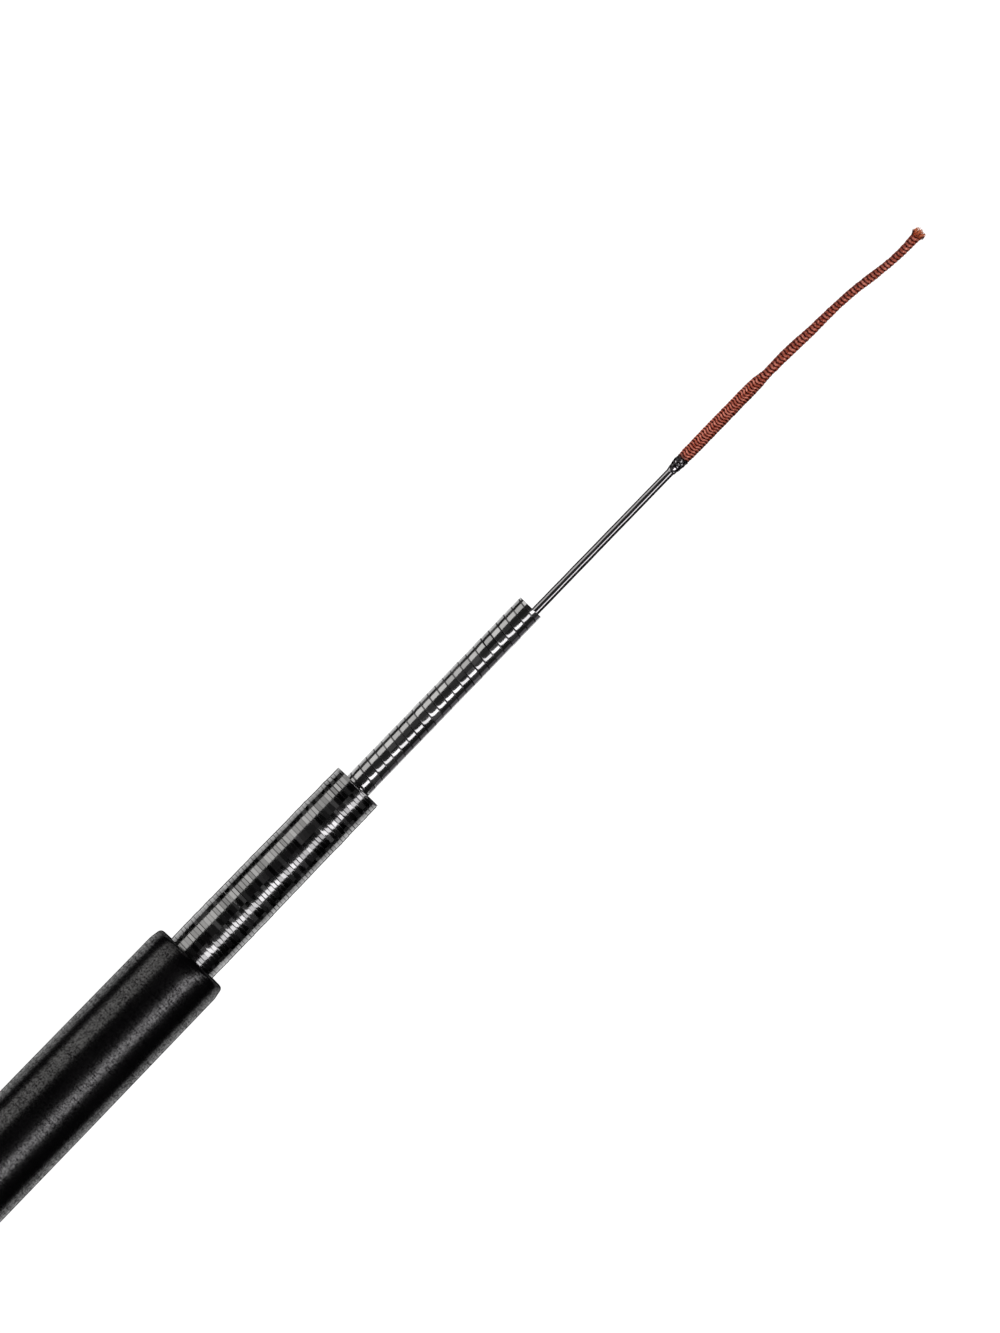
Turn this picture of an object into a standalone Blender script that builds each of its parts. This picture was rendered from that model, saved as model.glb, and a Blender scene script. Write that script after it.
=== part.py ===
"""Telescopic pole rod, closed: a tapered butt with a screw cap, two carbon sections and a solid
tip nested inside it, and a knitted lillian at the tip end that the line is tied to.

The pole is modelled standing on its butt, with heights in z, and the empty pole_axis lays it
down along +X. World origin: centre of the flat end of the butt cap. Metres."""

import math

import bmesh
import bpy
import numpy as np

MM = 0.001

# Places along the pole, from the flat end of the cap
BUTT_MOUTH_HEIGHT = 1050.0 * MM
SECTION_THREE_SHOWS = 23.9 * MM
SECTION_TWO_SHOWS = 24.9 * MM
TIP_SHOWS = 19.3 * MM

# Butt tube
BUTT_MOUTH_RADIUS = 4.47 * MM
BUTT_SHOULDER_RISE = 0.085 * MM
BUTT_SHOULDER_LENGTH = 20.0 * MM
BUTT_MOUTH_WALL = 0.72 * MM
BUTT_BASE_WALL = 1.0 * MM
BUTT_LIP_RADIUS = 0.6 * MM

# Section three, the larger of the two inner tubes
THREE_MOUTH_RADIUS = 2.75 * MM
THREE_SHOULDER_RISE = 0.105 * MM
THREE_SHOULDER_LENGTH = 17.0 * MM
THREE_MOUTH_WALL = 0.45 * MM
THREE_BASE_WALL = 0.42 * MM

# Section two
TWO_MOUTH_RADIUS = 1.425 * MM
TWO_SHOULDER_RISE = 0.005 * MM
TWO_SHOULDER_LENGTH = 12.0 * MM
TWO_MOUTH_WALL = 0.295 * MM
TWO_BASE_WALL = 0.48 * MM

# Solid tip
TIP_MOUTH_RADIUS = 0.44 * MM
TIP_END_RADIUS = 0.41 * MM

# Jams: each base swells so that it wedges in the next mouth when the pole is drawn out
THREE_JAM_LENGTH = 90.0 * MM
TWO_JAM_LENGTH = 80.0 * MM
TIP_JAM_LENGTH = 70.0 * MM
JAM_TAPER = 1.1 / 1000.0
JAM_CLEARANCE = 0.1 * MM
LEAN_GAP = 0.05 * MM
BASE_CHAMFER = 0.12 * MM
MOUTH_CHAMFER = 0.05 * MM

# Which way each section leans in the mouth that holds it, turned from straight down towards -Y
TWO_LEAN_TURN = math.radians(-4.9)
TIP_LEAN_TURN = math.radians(75.6)

# Butt closure
CAP_OVERHANG = 0.2 * MM
CAP_HEAD_LENGTH = 7.0 * MM
CAP_END_CHAMFER = 0.6 * MM
CAP_SPIGOT_LENGTH = 7.5 * MM
CAP_RECESS_DEPTH = 2.0 * MM
CAP_RECESS_WALL = 0.5 * MM
CAP_EDGE = 0.2 * MM
KNURL_GROOVES = 30
KNURL_GROOVE_RADIUS = 0.4 * MM
KNURL_DEPTH = 0.25 * MM
KNURL_MARGIN = 1.2 * MM
SEAL_CORD_RADIUS = 0.5 * MM
SEAL_GAP = 0.1 * MM
CUSHION_STANDS_OUT = 2.0 * MM
CUSHION_EDGE_RADIUS = 0.4 * MM
COLLAR_PASS = 0.751 * MM
COLLAR_WALL = 1.25 * MM
COLLAR_FLANGE_OVERHANG = 0.1 * MM
COLLAR_FLANGE_LENGTH = 1.5 * MM
COLLAR_BODY_LENGTH = 14.0 * MM
COLLAR_CHAMFER = 0.4 * MM
THREAD_CLEARANCE = 0.15 * MM

# Grip
GRIP_START = 2.0 * MM
GRIP_LENGTH = 320.0 * MM
GRIP_THICKNESS = 0.6 * MM
GRIP_EDGE = 0.25 * MM
GRIP_RING_WIDTH = 6.0 * MM
GRIP_RING_SLOPE = 2.0 * MM
GRIP_RING_THICKNESS = 0.75 * MM

# Clearances between pieces that touch
SEAT_GAP = 0.3 * MM
BOND_GAP = 0.05 * MM

# Tip whipping and lillian
WHIPPING_LENGTH = 2.15 * MM
WHIPPING_FULL_LENGTH = 0.7 * MM
WHIPPING_SKIRT = 0.1 * MM
WHIPPING_END_RADIUS = 0.69 * MM
ROD_IN_SLEEVE = 10.4 * MM

# Centreline of the lillian from the start of its sleeve, in millimetres of the tip's own axes:
# height up the rod, drop towards the ground, side towards -Y, and the cord's radius there
LILLIAN_ROUTE = (
    (0.00, 0.00, 0.00, 0.650),
    (2.50, 0.00, 0.00, 0.665),
    (5.00, 0.00, 0.00, 0.665),
    (7.50, 0.00, 0.00, 0.660),
    (9.80, 0.00, 0.02, 0.655),
    (11.0, 0.00, 0.06, 0.560),
    (12.0, 0.01, 0.10, 0.460),
    (14.0, 0.11, 0.11, 0.510),
    (16.0, 0.27, 0.20, 0.520),
    (18.0, 0.51, 0.32, 0.470),
    (20.0, 0.78, 0.36, 0.450),
    (22.0, 1.10, 0.45, 0.420),
    (24.0, 1.43, 0.62, 0.430),
    (26.0, 1.79, 0.91, 0.450),
    (28.0, 2.15, 1.19, 0.410),
    (30.0, 2.52, 1.33, 0.430),
    (31.5, 2.80, 1.30, 0.480),
    (32.6, 3.00, 1.24, 0.560),
)
LILLIAN_STEP = 1.1 * MM
LILLIAN_CORD_RADIUS = 0.5 * MM

# Facets round each turned piece, and along its rounded edges
BUTT_SIDES = 48
THREE_SIDES = 40
TWO_SIDES = 32
TIP_SIDES = 16
SEAL_SIDES = 8
KNURL_GROOVE_SIDES = 8
LIP_STEPS = 5
CUSHION_EDGE_STEPS = 3
LILLIAN_BEVEL_STEPS = 2
MERGE_DISTANCE = 0.001 * MM

# Heights and lengths that follow from the sizes above
COLLAR_FACE = CAP_HEAD_LENGTH + SEAT_GAP
COLLAR_SHOULDER = COLLAR_FACE + COLLAR_FLANGE_LENGTH
BUTT_BASE_HEIGHT = COLLAR_SHOULDER + BOND_GAP
SPIGOT_TOP = CAP_HEAD_LENGTH + CAP_SPIGOT_LENGTH
CUSHION_TOP = SPIGOT_TOP + CUSHION_STANDS_OUT
SECTION_BASE_HEIGHT = CUSHION_TOP + SEAT_GAP
THREE_MOUTH_HEIGHT = BUTT_MOUTH_HEIGHT + SECTION_THREE_SHOWS
TWO_MOUTH_HEIGHT = THREE_MOUTH_HEIGHT + SECTION_TWO_SHOWS
WHIPPING_HEIGHT = TWO_MOUTH_HEIGHT + TIP_SHOWS
SLEEVE_HEIGHT = WHIPPING_HEIGHT + WHIPPING_LENGTH + BOND_GAP
TIP_END_HEIGHT = SLEEVE_HEIGHT + ROD_IN_SLEEVE

BUTT_LENGTH = BUTT_MOUTH_HEIGHT - BUTT_BASE_HEIGHT
THREE_LENGTH = THREE_MOUTH_HEIGHT - SECTION_BASE_HEIGHT
TWO_LENGTH = TWO_MOUTH_HEIGHT - SECTION_BASE_HEIGHT
TIP_LENGTH = TIP_END_HEIGHT - SECTION_BASE_HEIGHT

# Radii that follow: the sections come out through the collar, so its bore clears section three's
# base, and the collar's wall sets the base of the butt, its grip and the cap
BUTT_BORE = BUTT_MOUTH_RADIUS - BUTT_MOUTH_WALL
THREE_BORE = THREE_MOUTH_RADIUS - THREE_MOUTH_WALL
TWO_BORE = TWO_MOUTH_RADIUS - TWO_MOUTH_WALL
THREE_BASE_RADIUS = BUTT_BORE - JAM_CLEARANCE + JAM_TAPER * THREE_JAM_LENGTH
COLLAR_BORE = THREE_BASE_RADIUS + COLLAR_PASS
CAP_SPIGOT_RADIUS = COLLAR_BORE - THREAD_CLEARANCE
BUTT_BASE_BORE = COLLAR_BORE + COLLAR_WALL + BOND_GAP
BUTT_BASE_RADIUS = BUTT_BASE_BORE + BUTT_BASE_WALL
COLLAR_FLANGE_RADIUS = BUTT_BASE_RADIUS + COLLAR_FLANGE_OVERHANG
CAP_RADIUS = BUTT_BASE_RADIUS + GRIP_THICKNESS + CAP_OVERHANG


def clear_scene():
    """Removes what the scene starts with."""
    for thing in list(bpy.data.objects):
        bpy.data.objects.remove(thing, do_unlink=True)


def collection(name):
    """A new collection in the scene."""
    made = bpy.data.collections.new(name)
    bpy.context.scene.collection.children.link(made)
    return made


def finish(name, colour, roughness, metallic=0.0):
    """A Principled material."""
    material = bpy.data.materials.new(name)
    material.use_nodes = True
    shader = material.node_tree.nodes["Principled BSDF"]
    shader.inputs["Base Color"].default_value = (*colour, 1.0)
    shader.inputs["Roughness"].default_value = roughness
    shader.inputs["Metallic"].default_value = metallic
    return material


def axis_empty(name, height, parent=None, drop=0.0, side=0.0):
    """An empty on the axis of what it carries. It stands at a height of its parent's axis and leans
    by two small angles: drop towards the ground once the pole lies down, side towards -Y."""
    empty = bpy.data.objects.new(name, None)
    parts.objects.link(empty)
    empty.parent = parent
    empty.location = (0.0, 0.0, height)
    empty.rotation_euler = (side, drop, 0.0)
    return empty


def turned(name, outline, sides, material, parent, height=0.0, closed=True):
    """A piece turned round z from an outline of (radius, height) points, which runs down its outer
    side and, where it is closed, back up its bore."""
    mesh = bpy.data.meshes.new(name)
    points = [(radius, 0.0, z) for radius, z in outline]
    edges = [(i, i + 1) for i in range(len(points) - 1)]
    if closed:
        edges.append((len(points) - 1, 0))
    mesh.from_pydata(points, edges, [])
    piece = bpy.data.objects.new(name, mesh)
    parts.objects.link(piece)
    piece.parent = parent
    piece.location = (0.0, 0.0, height)
    mesh.materials.append(material)
    screw = piece.modifiers.new("turn", "SCREW")
    screw.axis = "Z"
    screw.angle = math.tau
    screw.steps = sides
    screw.render_steps = sides
    screw.use_merge_vertices = True
    screw.merge_threshold = MERGE_DISTANCE
    screw.use_smooth_shade = True
    return piece


def arc(radius, centre_radius, centre_height, start, end, steps):
    """Points on an arc, from one angle to another, as (radius, height)."""
    turn = np.radians(np.linspace(start, end, steps + 1))
    return [
        (centre_radius + radius * math.cos(a), centre_height + radius * math.sin(a))
        for a in turn
    ]


def radius_at(stations, height):
    """The radius of a tapered outline at one height."""
    rising = sorted(stations, key=lambda station: station[1])
    return float(
        np.interp(height, [z for _, z in rising], [radius for radius, _ in rising])
    )


def jam_outline(length, mouth, shoulder, shoulder_length, jam_length, outer_bore):
    """The outside of an inner section from its mouth down to its base, as (radius, height). The last
    stretch is parallel to the bore that it wedges in, a clearance smaller."""
    wedge = outer_bore - JAM_CLEARANCE
    return [
        (mouth, length),
        (shoulder, length - shoulder_length),
        (wedge, jam_length),
        (wedge + JAM_TAPER * jam_length, 0.0),
    ]


def bore_outline(length, mouth_bore, jam_length, base_bore):
    """The bore of a tube from its base up to its mouth, as (radius, height)."""
    return [
        (base_bore, 0.0),
        (mouth_bore + JAM_TAPER * jam_length, length - jam_length),
        (mouth_bore, length),
    ]


def tube_outline(outside, bore, base_chamfer):
    """The closed outline of a tube with small chamfers at its mouth and base."""
    mouth, top = outside[0]
    base, bottom = outside[-1]
    return (
        [(mouth - MOUTH_CHAMFER, top), (mouth, top - MOUTH_CHAMFER)]
        + outside[1:-1]
        + [(base, bottom + base_chamfer), (base - base_chamfer, bottom)]
        + bore
    )


def lean_of(bore, radius, reach, turn=0.0):
    """The two angles, drop and side, by which a section leans until it rests on the bore of the
    mouth that holds it, on a line turned that far round from straight down."""
    lean = math.atan((bore - radius - LEAN_GAP) / reach)
    return {"drop": lean * math.cos(turn), "side": lean * math.sin(turn)}


def cut_by(piece, cutter):
    """Subtracts a cutter, which is kept out of the model, from a piece."""
    cutter.hide_render = True
    cutter.display_type = "WIRE"
    boolean = piece.modifiers.new("cut", "BOOLEAN")
    boolean.operation = "DIFFERENCE"
    boolean.solver = "EXACT"
    boolean.object = cutter


def rods(name, places, radius, low, high, sides, parent):
    """One cutter made of upright rods at (x, y) places of its parent's axes."""
    mesh = bpy.data.meshes.new(name)
    form = bmesh.new()
    for x, y in places:
        rod = bmesh.ops.create_cone(
            form, cap_ends=True, segments=sides, radius1=radius, radius2=radius, depth=high - low
        )
        bmesh.ops.translate(form, verts=rod["verts"], vec=(x, y, (high + low) / 2))
    form.to_mesh(mesh)
    form.free()
    cutter = bpy.data.objects.new(name, mesh)
    cutters.objects.link(cutter)
    cutter.parent = parent
    return cutter


def smooth_route(route, step):
    """Points about a step apart on a Catmull-Rom curve through the rows of a route."""
    rows = np.array(route)
    ends = np.vstack([2 * rows[0] - rows[1], rows, 2 * rows[-1] - rows[-2]])
    found = []
    for a, b, c, d in zip(ends, ends[1:], ends[2:], ends[3:]):
        pieces = max(1, round(float(np.linalg.norm(c[:3] - b[:3])) / step))
        for t in np.arange(pieces) / pieces:
            found.append(
                b + 0.5 * t * (c - a + t * (2 * a - 5 * b + 4 * c - d + t * (3 * (b - c) + d - a)))
            )
    return np.array(found + [rows[-1]])


def build_closure():
    """The collar bonded in the butt, the screw cap, its seal and the cushion."""
    alloy = finish("black anodised alloy", (0.02, 0.02, 0.022), 0.35, 1.0)
    bare = finish("bright alloy", (0.6, 0.6, 0.62), 0.3, 1.0)
    rubber = finish("black rubber", (0.015, 0.015, 0.015), 0.7)

    body = COLLAR_BORE + COLLAR_WALL
    top = COLLAR_SHOULDER + COLLAR_BODY_LENGTH
    turned(
        "butt_collar",
        [
            (body - COLLAR_CHAMFER, top),
            (body, top - COLLAR_CHAMFER),
            (body, COLLAR_SHOULDER),
            (COLLAR_FLANGE_RADIUS, COLLAR_SHOULDER),
            (COLLAR_FLANGE_RADIUS, COLLAR_FACE),
            (COLLAR_BORE + COLLAR_CHAMFER, COLLAR_FACE),
            (COLLAR_BORE, COLLAR_FACE + COLLAR_CHAMFER),
            (COLLAR_BORE, top - COLLAR_CHAMFER),
            (COLLAR_BORE + COLLAR_CHAMFER, top),
        ],
        BUTT_SIDES,
        bare,
        pole,
    )

    groove_outer = CAP_SPIGOT_RADIUS + 2 * (SEAL_CORD_RADIUS + SEAL_GAP)
    groove_floor = COLLAR_FACE - 2 * (SEAL_CORD_RADIUS + SEAL_GAP)
    recess = CAP_SPIGOT_RADIUS - CAP_RECESS_WALL
    cap = turned(
        "butt_cap",
        [
            (0.0, SPIGOT_TOP - CAP_RECESS_DEPTH),
            (recess, SPIGOT_TOP - CAP_RECESS_DEPTH),
            (recess, SPIGOT_TOP),
            (CAP_SPIGOT_RADIUS - CAP_EDGE, SPIGOT_TOP),
            (CAP_SPIGOT_RADIUS, SPIGOT_TOP - CAP_EDGE),
            (CAP_SPIGOT_RADIUS, groove_floor),
            (groove_outer, groove_floor),
            (groove_outer, CAP_HEAD_LENGTH),
            (CAP_RADIUS - CAP_EDGE, CAP_HEAD_LENGTH),
            (CAP_RADIUS, CAP_HEAD_LENGTH - CAP_EDGE),
            (CAP_RADIUS, CAP_END_CHAMFER),
            (CAP_RADIUS - CAP_END_CHAMFER, 0.0),
            (0.0, 0.0),
        ],
        BUTT_SIDES,
        alloy,
        cap_axis,
        closed=False,
    )
    knurl_circle = CAP_RADIUS - KNURL_DEPTH + KNURL_GROOVE_RADIUS
    knurl_places = [
        (knurl_circle * math.cos(turn), knurl_circle * math.sin(turn))
        for turn in np.arange(KNURL_GROOVES) * math.tau / KNURL_GROOVES
    ]
    knurl = rods(
        "knurl_cutter",
        knurl_places,
        KNURL_GROOVE_RADIUS,
        KNURL_MARGIN,
        CAP_HEAD_LENGTH - KNURL_MARGIN,
        KNURL_GROOVE_SIDES,
        cap_axis,
    )
    cut_by(cap, knurl)

    seal_radius = CAP_SPIGOT_RADIUS + SEAL_GAP + SEAL_CORD_RADIUS
    seal_height = groove_floor + SEAL_GAP + SEAL_CORD_RADIUS
    turned(
        "cap_oring",
        arc(SEAL_CORD_RADIUS, seal_radius, 0.0, 90.0, -270.0, SEAL_SIDES)[:-1],
        BUTT_SIDES,
        rubber,
        pole,
        seal_height,
    )

    edge = CUSHION_EDGE_RADIUS
    cushion = recess - BOND_GAP
    turned(
        "cap_cushion",
        [(0.0, CUSHION_TOP)]
        + arc(edge, cushion - edge, CUSHION_TOP - edge, 90.0, 0.0, CUSHION_EDGE_STEPS)
        + [
            (cushion, SPIGOT_TOP - CAP_RECESS_DEPTH + BOND_GAP),
            (0.0, SPIGOT_TOP - CAP_RECESS_DEPTH + BOND_GAP),
        ],
        BUTT_SIDES,
        rubber,
        cap_axis,
        closed=False,
    )


def build_butt():
    """The butt tube with its rounded lip, the shrunk grip sleeve and the ring that ends it."""
    paint = finish("matt black paint", (0.012, 0.012, 0.013), 0.45)
    shrink = finish("grip rubber", (0.018, 0.018, 0.019), 0.75)
    trim = finish("satin grey trim", (0.25, 0.25, 0.26), 0.35, 1.0)

    shoulder = (BUTT_MOUTH_RADIUS + BUTT_SHOULDER_RISE, BUTT_LENGTH - BUTT_SHOULDER_LENGTH)
    base = (BUTT_BASE_RADIUS, 0.0)
    lip = arc(
        BUTT_LIP_RADIUS,
        BUTT_MOUTH_RADIUS - BUTT_LIP_RADIUS,
        BUTT_LENGTH - BUTT_LIP_RADIUS,
        90.0,
        0.0,
        LIP_STEPS,
    )
    bore = bore_outline(BUTT_LENGTH, BUTT_BORE, THREE_JAM_LENGTH, BUTT_BASE_BORE)
    socket = [(BUTT_BASE_BORE, 0.0), (BUTT_BASE_BORE, COLLAR_BODY_LENGTH + SEAT_GAP)]
    turned(
        "butt_tube",
        lip + [shoulder, base] + socket + bore[1:],
        BUTT_SIDES,
        paint,
        pole,
        BUTT_BASE_HEIGHT,
    )

    def skin(height, over):
        """A point that far over the tube's outside at a height of the tube."""
        return (radius_at([shoulder, base], height) + over, height)

    top = GRIP_START + GRIP_LENGTH
    turned(
        "grip_sleeve",
        [
            skin(top, GRIP_THICKNESS - GRIP_EDGE),
            skin(top - GRIP_EDGE, GRIP_THICKNESS),
            skin(GRIP_START + GRIP_EDGE, GRIP_THICKNESS),
            skin(GRIP_START, GRIP_THICKNESS - GRIP_EDGE),
            skin(GRIP_START, BOND_GAP),
            skin(top, BOND_GAP),
        ],
        BUTT_SIDES,
        shrink,
        pole,
        BUTT_BASE_HEIGHT,
    )

    ring_base = top + SEAT_GAP
    ring_top = ring_base + GRIP_RING_WIDTH
    rise = GRIP_RING_THICKNESS / 2
    turned(
        "grip_ring",
        [
            skin(ring_top, rise),
            skin(ring_top - GRIP_RING_SLOPE, GRIP_RING_THICKNESS),
            skin(ring_base + GRIP_EDGE, GRIP_RING_THICKNESS),
            skin(ring_base, GRIP_RING_THICKNESS - GRIP_EDGE),
            skin(ring_base, BOND_GAP),
            skin(ring_top, BOND_GAP),
        ],
        BUTT_SIDES,
        trim,
        pole,
        BUTT_BASE_HEIGHT,
    )


def build_sections():
    """The two carbon tubes and the solid tip, each resting on the lower side of the mouth that it
    comes out of. Returns the tip's axis and the outside of the tip."""
    gloss = finish("gloss carbon", (0.02, 0.02, 0.021), 0.12)

    three = jam_outline(
        THREE_LENGTH,
        THREE_MOUTH_RADIUS,
        THREE_MOUTH_RADIUS + THREE_SHOULDER_RISE,
        THREE_SHOULDER_LENGTH,
        THREE_JAM_LENGTH,
        BUTT_BORE,
    )
    reach = BUTT_MOUTH_HEIGHT - SECTION_BASE_HEIGHT
    three_axis = axis_empty(
        "section_three_axis",
        SECTION_BASE_HEIGHT,
        pole,
        **lean_of(BUTT_BORE, radius_at(three, reach), reach),
    )
    three_bore = bore_outline(
        THREE_LENGTH, THREE_BORE, TWO_JAM_LENGTH, three[-1][0] - THREE_BASE_WALL
    )
    turned(
        "section_three",
        tube_outline(three, three_bore, BASE_CHAMFER),
        THREE_SIDES,
        gloss,
        three_axis,
    )

    two = jam_outline(
        TWO_LENGTH,
        TWO_MOUTH_RADIUS,
        TWO_MOUTH_RADIUS + TWO_SHOULDER_RISE,
        TWO_SHOULDER_LENGTH,
        TWO_JAM_LENGTH,
        THREE_BORE,
    )
    reach = THREE_MOUTH_HEIGHT - SECTION_BASE_HEIGHT
    two_axis = axis_empty(
        "section_two_axis",
        0.0,
        three_axis,
        **lean_of(THREE_BORE, radius_at(two, reach), reach, TWO_LEAN_TURN),
    )
    two_bore = bore_outline(TWO_LENGTH, TWO_BORE, TIP_JAM_LENGTH, two[-1][0] - TWO_BASE_WALL)
    turned(
        "section_two",
        tube_outline(two, two_bore, BASE_CHAMFER),
        TWO_SIDES,
        gloss,
        two_axis,
    )

    reach = TWO_MOUTH_HEIGHT - SECTION_BASE_HEIGHT
    tip = [
        (TIP_END_RADIUS, TIP_LENGTH),
        (TIP_MOUTH_RADIUS, reach),
        (TWO_BORE - JAM_CLEARANCE, TIP_JAM_LENGTH),
        (TWO_BORE - JAM_CLEARANCE + JAM_TAPER * TIP_JAM_LENGTH, 0.0),
    ]
    tip_axis = axis_empty(
        "tip_axis", 0.0, two_axis, **lean_of(TWO_BORE, TIP_MOUTH_RADIUS, reach, TIP_LEAN_TURN)
    )
    base, _ = tip[-1]
    turned(
        "tip_blank",
        [(0.0, TIP_LENGTH), (TIP_END_RADIUS - MOUTH_CHAMFER, TIP_LENGTH)]
        + [(TIP_END_RADIUS, TIP_LENGTH - MOUTH_CHAMFER)]
        + tip[1:-1]
        + [(base, BASE_CHAMFER), (base - BASE_CHAMFER, 0.0), (0.0, 0.0)],
        TIP_SIDES,
        gloss,
        tip_axis,
        closed=False,
    )
    return tip_axis, tip


def build_tip_end(tip_axis, tip):
    """The glued whipping and the lillian, a knitted cord whose sleeve is drawn over the rod."""
    glue = finish("black whipping and glue", (0.01, 0.01, 0.01), 0.2)
    cord = finish("rust red cord", (0.28, 0.06, 0.035), 0.8)

    start = WHIPPING_HEIGHT - SECTION_BASE_HEIGHT
    end = start + WHIPPING_LENGTH
    rod_start = radius_at(tip, start) + BOND_GAP
    rod_end = radius_at(tip, end) + BOND_GAP
    skirt = rod_start + WHIPPING_SKIRT
    turned(
        "tip_whipping",
        [
            (WHIPPING_END_RADIUS - BOND_GAP, end),
            (WHIPPING_END_RADIUS, end - BOND_GAP),
            (WHIPPING_END_RADIUS, end - WHIPPING_FULL_LENGTH),
            (skirt, start + BOND_GAP),
            (skirt - BOND_GAP, start),
            (rod_start, start),
            (rod_end, end),
        ],
        TIP_SIDES,
        glue,
        tip_axis,
    )

    sleeve = SLEEVE_HEIGHT - SECTION_BASE_HEIGHT
    route = smooth_route([[MM * value for value in row] for row in LILLIAN_ROUTE], LILLIAN_STEP)
    line = bpy.data.curves.new("lillian_line", "CURVE")
    line.dimensions = "3D"
    line.bevel_depth = LILLIAN_CORD_RADIUS
    line.bevel_resolution = LILLIAN_BEVEL_STEPS
    line.use_fill_caps = True
    spline = line.splines.new("POLY")
    spline.points.add(len(route) - 1)
    for point, (up, drop, side, radius) in zip(spline.points, route):
        point.co = (drop, -side, sleeve + up, 1.0)
        point.radius = radius / LILLIAN_CORD_RADIUS
    drawn = bpy.data.objects.new("lillian_curve", line)
    parts.objects.link(drawn)
    drawn.parent = tip_axis
    bpy.context.view_layer.update()

    shape = drawn.evaluated_get(bpy.context.evaluated_depsgraph_get())
    mesh = bpy.data.meshes.new_from_object(shape)
    mesh.name = "lillian"
    form = bmesh.new()
    form.from_mesh(mesh)
    bmesh.ops.remove_doubles(form, verts=form.verts, dist=MERGE_DISTANCE)
    form.to_mesh(mesh)
    form.free()
    mesh.materials.clear()
    mesh.materials.append(cord)
    lillian = bpy.data.objects.new("lillian", mesh)
    parts.objects.link(lillian)
    lillian.matrix_world = drawn.matrix_world.copy()
    bpy.data.objects.remove(drawn, do_unlink=True)

    rod = rods(
        "rod_cutter",
        [(0.0, 0.0)],
        rod_end,
        sleeve - LILLIAN_STEP,
        sleeve + ROD_IN_SLEEVE + BOND_GAP,
        TIP_SIDES,
        tip_axis,
    )
    cut_by(lillian, rod)


clear_scene()
parts = collection("telescopic_pole_rod")
cutters = collection("cutters")
pole = axis_empty("pole_axis", 0.0)
pole.rotation_euler = (0.0, math.pi / 2, 0.0)
cap_axis = axis_empty("cap_axis", 0.0, pole)

build_closure()
build_butt()
build_tip_end(*build_sections())
bpy.context.view_layer.update()
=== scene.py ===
# Telescopic pole rod, closed, seen at its tip end. Sizes are in millimetres, in the frame of the
# solid model, and grid_skin turns them to metres when it makes a mesh.
import math

import bpy
import numpy as np
from mathutils import Matrix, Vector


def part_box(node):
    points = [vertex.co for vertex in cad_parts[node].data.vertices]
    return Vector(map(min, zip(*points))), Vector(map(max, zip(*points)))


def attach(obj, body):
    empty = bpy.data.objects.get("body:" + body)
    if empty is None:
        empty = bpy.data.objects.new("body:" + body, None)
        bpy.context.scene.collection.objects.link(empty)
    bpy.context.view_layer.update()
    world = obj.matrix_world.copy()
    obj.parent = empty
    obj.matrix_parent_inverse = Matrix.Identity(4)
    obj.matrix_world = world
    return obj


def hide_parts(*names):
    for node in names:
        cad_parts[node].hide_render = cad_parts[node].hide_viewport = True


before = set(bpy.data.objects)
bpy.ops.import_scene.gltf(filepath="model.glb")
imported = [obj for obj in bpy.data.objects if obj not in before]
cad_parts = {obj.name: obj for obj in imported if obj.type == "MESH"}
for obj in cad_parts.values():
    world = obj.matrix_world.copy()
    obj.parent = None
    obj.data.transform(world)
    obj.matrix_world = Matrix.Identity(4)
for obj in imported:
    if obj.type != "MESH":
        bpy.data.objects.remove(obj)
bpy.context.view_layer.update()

# Camera
# The pole lies along X and its tip end is seen square on from above, through a long lens. The
# camera is rolled so that the pole climbs from the lower left of the picture to the upper right.
MM = 0.001
PICTURE_HIGH_PX = 1333
PIXELS_PER_MM = 10.0
POLE_CLIMB = math.radians(45.95)
MIDDLE_ALONG = 1092.4
MIDDLE_ACROSS = -1.85
CAMERA_HEIGHT = 3000.0
FILM_LONG_SIDE = 36.0

lens = bpy.data.cameras.new("photo_camera")
lens.sensor_fit = "AUTO"
lens.sensor_width = FILM_LONG_SIDE
lens.lens = FILM_LONG_SIDE * CAMERA_HEIGHT * PIXELS_PER_MM / PICTURE_HIGH_PX
lens.clip_start = 0.1
lens.clip_end = 100.0
camera = bpy.data.objects.new("photo_camera", lens)
camera.location = (MIDDLE_ALONG * MM, MIDDLE_ACROSS * MM, CAMERA_HEIGHT * MM)
camera.rotation_euler = (0.0, 0.0, -POLE_CLIMB)
bpy.context.scene.collection.objects.link(camera)
bpy.context.scene.camera = camera

# Lillian
# A tube knitted of one rust red yarn, four stitches round, that the line is tied to. Its thick end is
# drawn over the tip rod and whipped fast, and its free end is cut and melted, and has frayed.
# Rows of the route: up the rod from the start of the sleeve, drop, side towards -Y, cord radius.
LILLIAN_ROUTE = (
    (0.00, 0.00, 0.00, 0.650),
    (2.50, 0.00, 0.00, 0.665),
    (5.00, 0.00, 0.00, 0.665),
    (7.50, 0.00, 0.00, 0.660),
    (9.80, 0.00, 0.02, 0.655),
    (11.0, 0.00, 0.06, 0.560),
    (12.0, 0.01, 0.10, 0.460),
    (14.0, 0.11, 0.11, 0.510),
    (16.0, 0.27, 0.20, 0.520),
    (18.0, 0.51, 0.32, 0.470),
    (20.0, 0.78, 0.36, 0.450),
    (22.0, 1.10, 0.45, 0.420),
    (24.0, 1.43, 0.62, 0.430),
    (26.0, 1.79, 0.91, 0.450),
    (28.0, 2.15, 1.19, 0.410),
    (30.0, 2.52, 1.33, 0.430),
    (31.5, 2.80, 1.30, 0.480),
    (32.6, 3.00, 1.24, 0.560),
)
ROUTE_STEPS = 24
FRAYED_LENGTH = 0.8
STITCHES_ROUND = 4
COURSE_ON_ROD = 0.33
COURSE_FREE = 0.43
SLEEVE_ENDS = 9.5
FREE_STARTS = 12.0
STITCH_POINTS = 20
YARN_SIDES = 8
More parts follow.
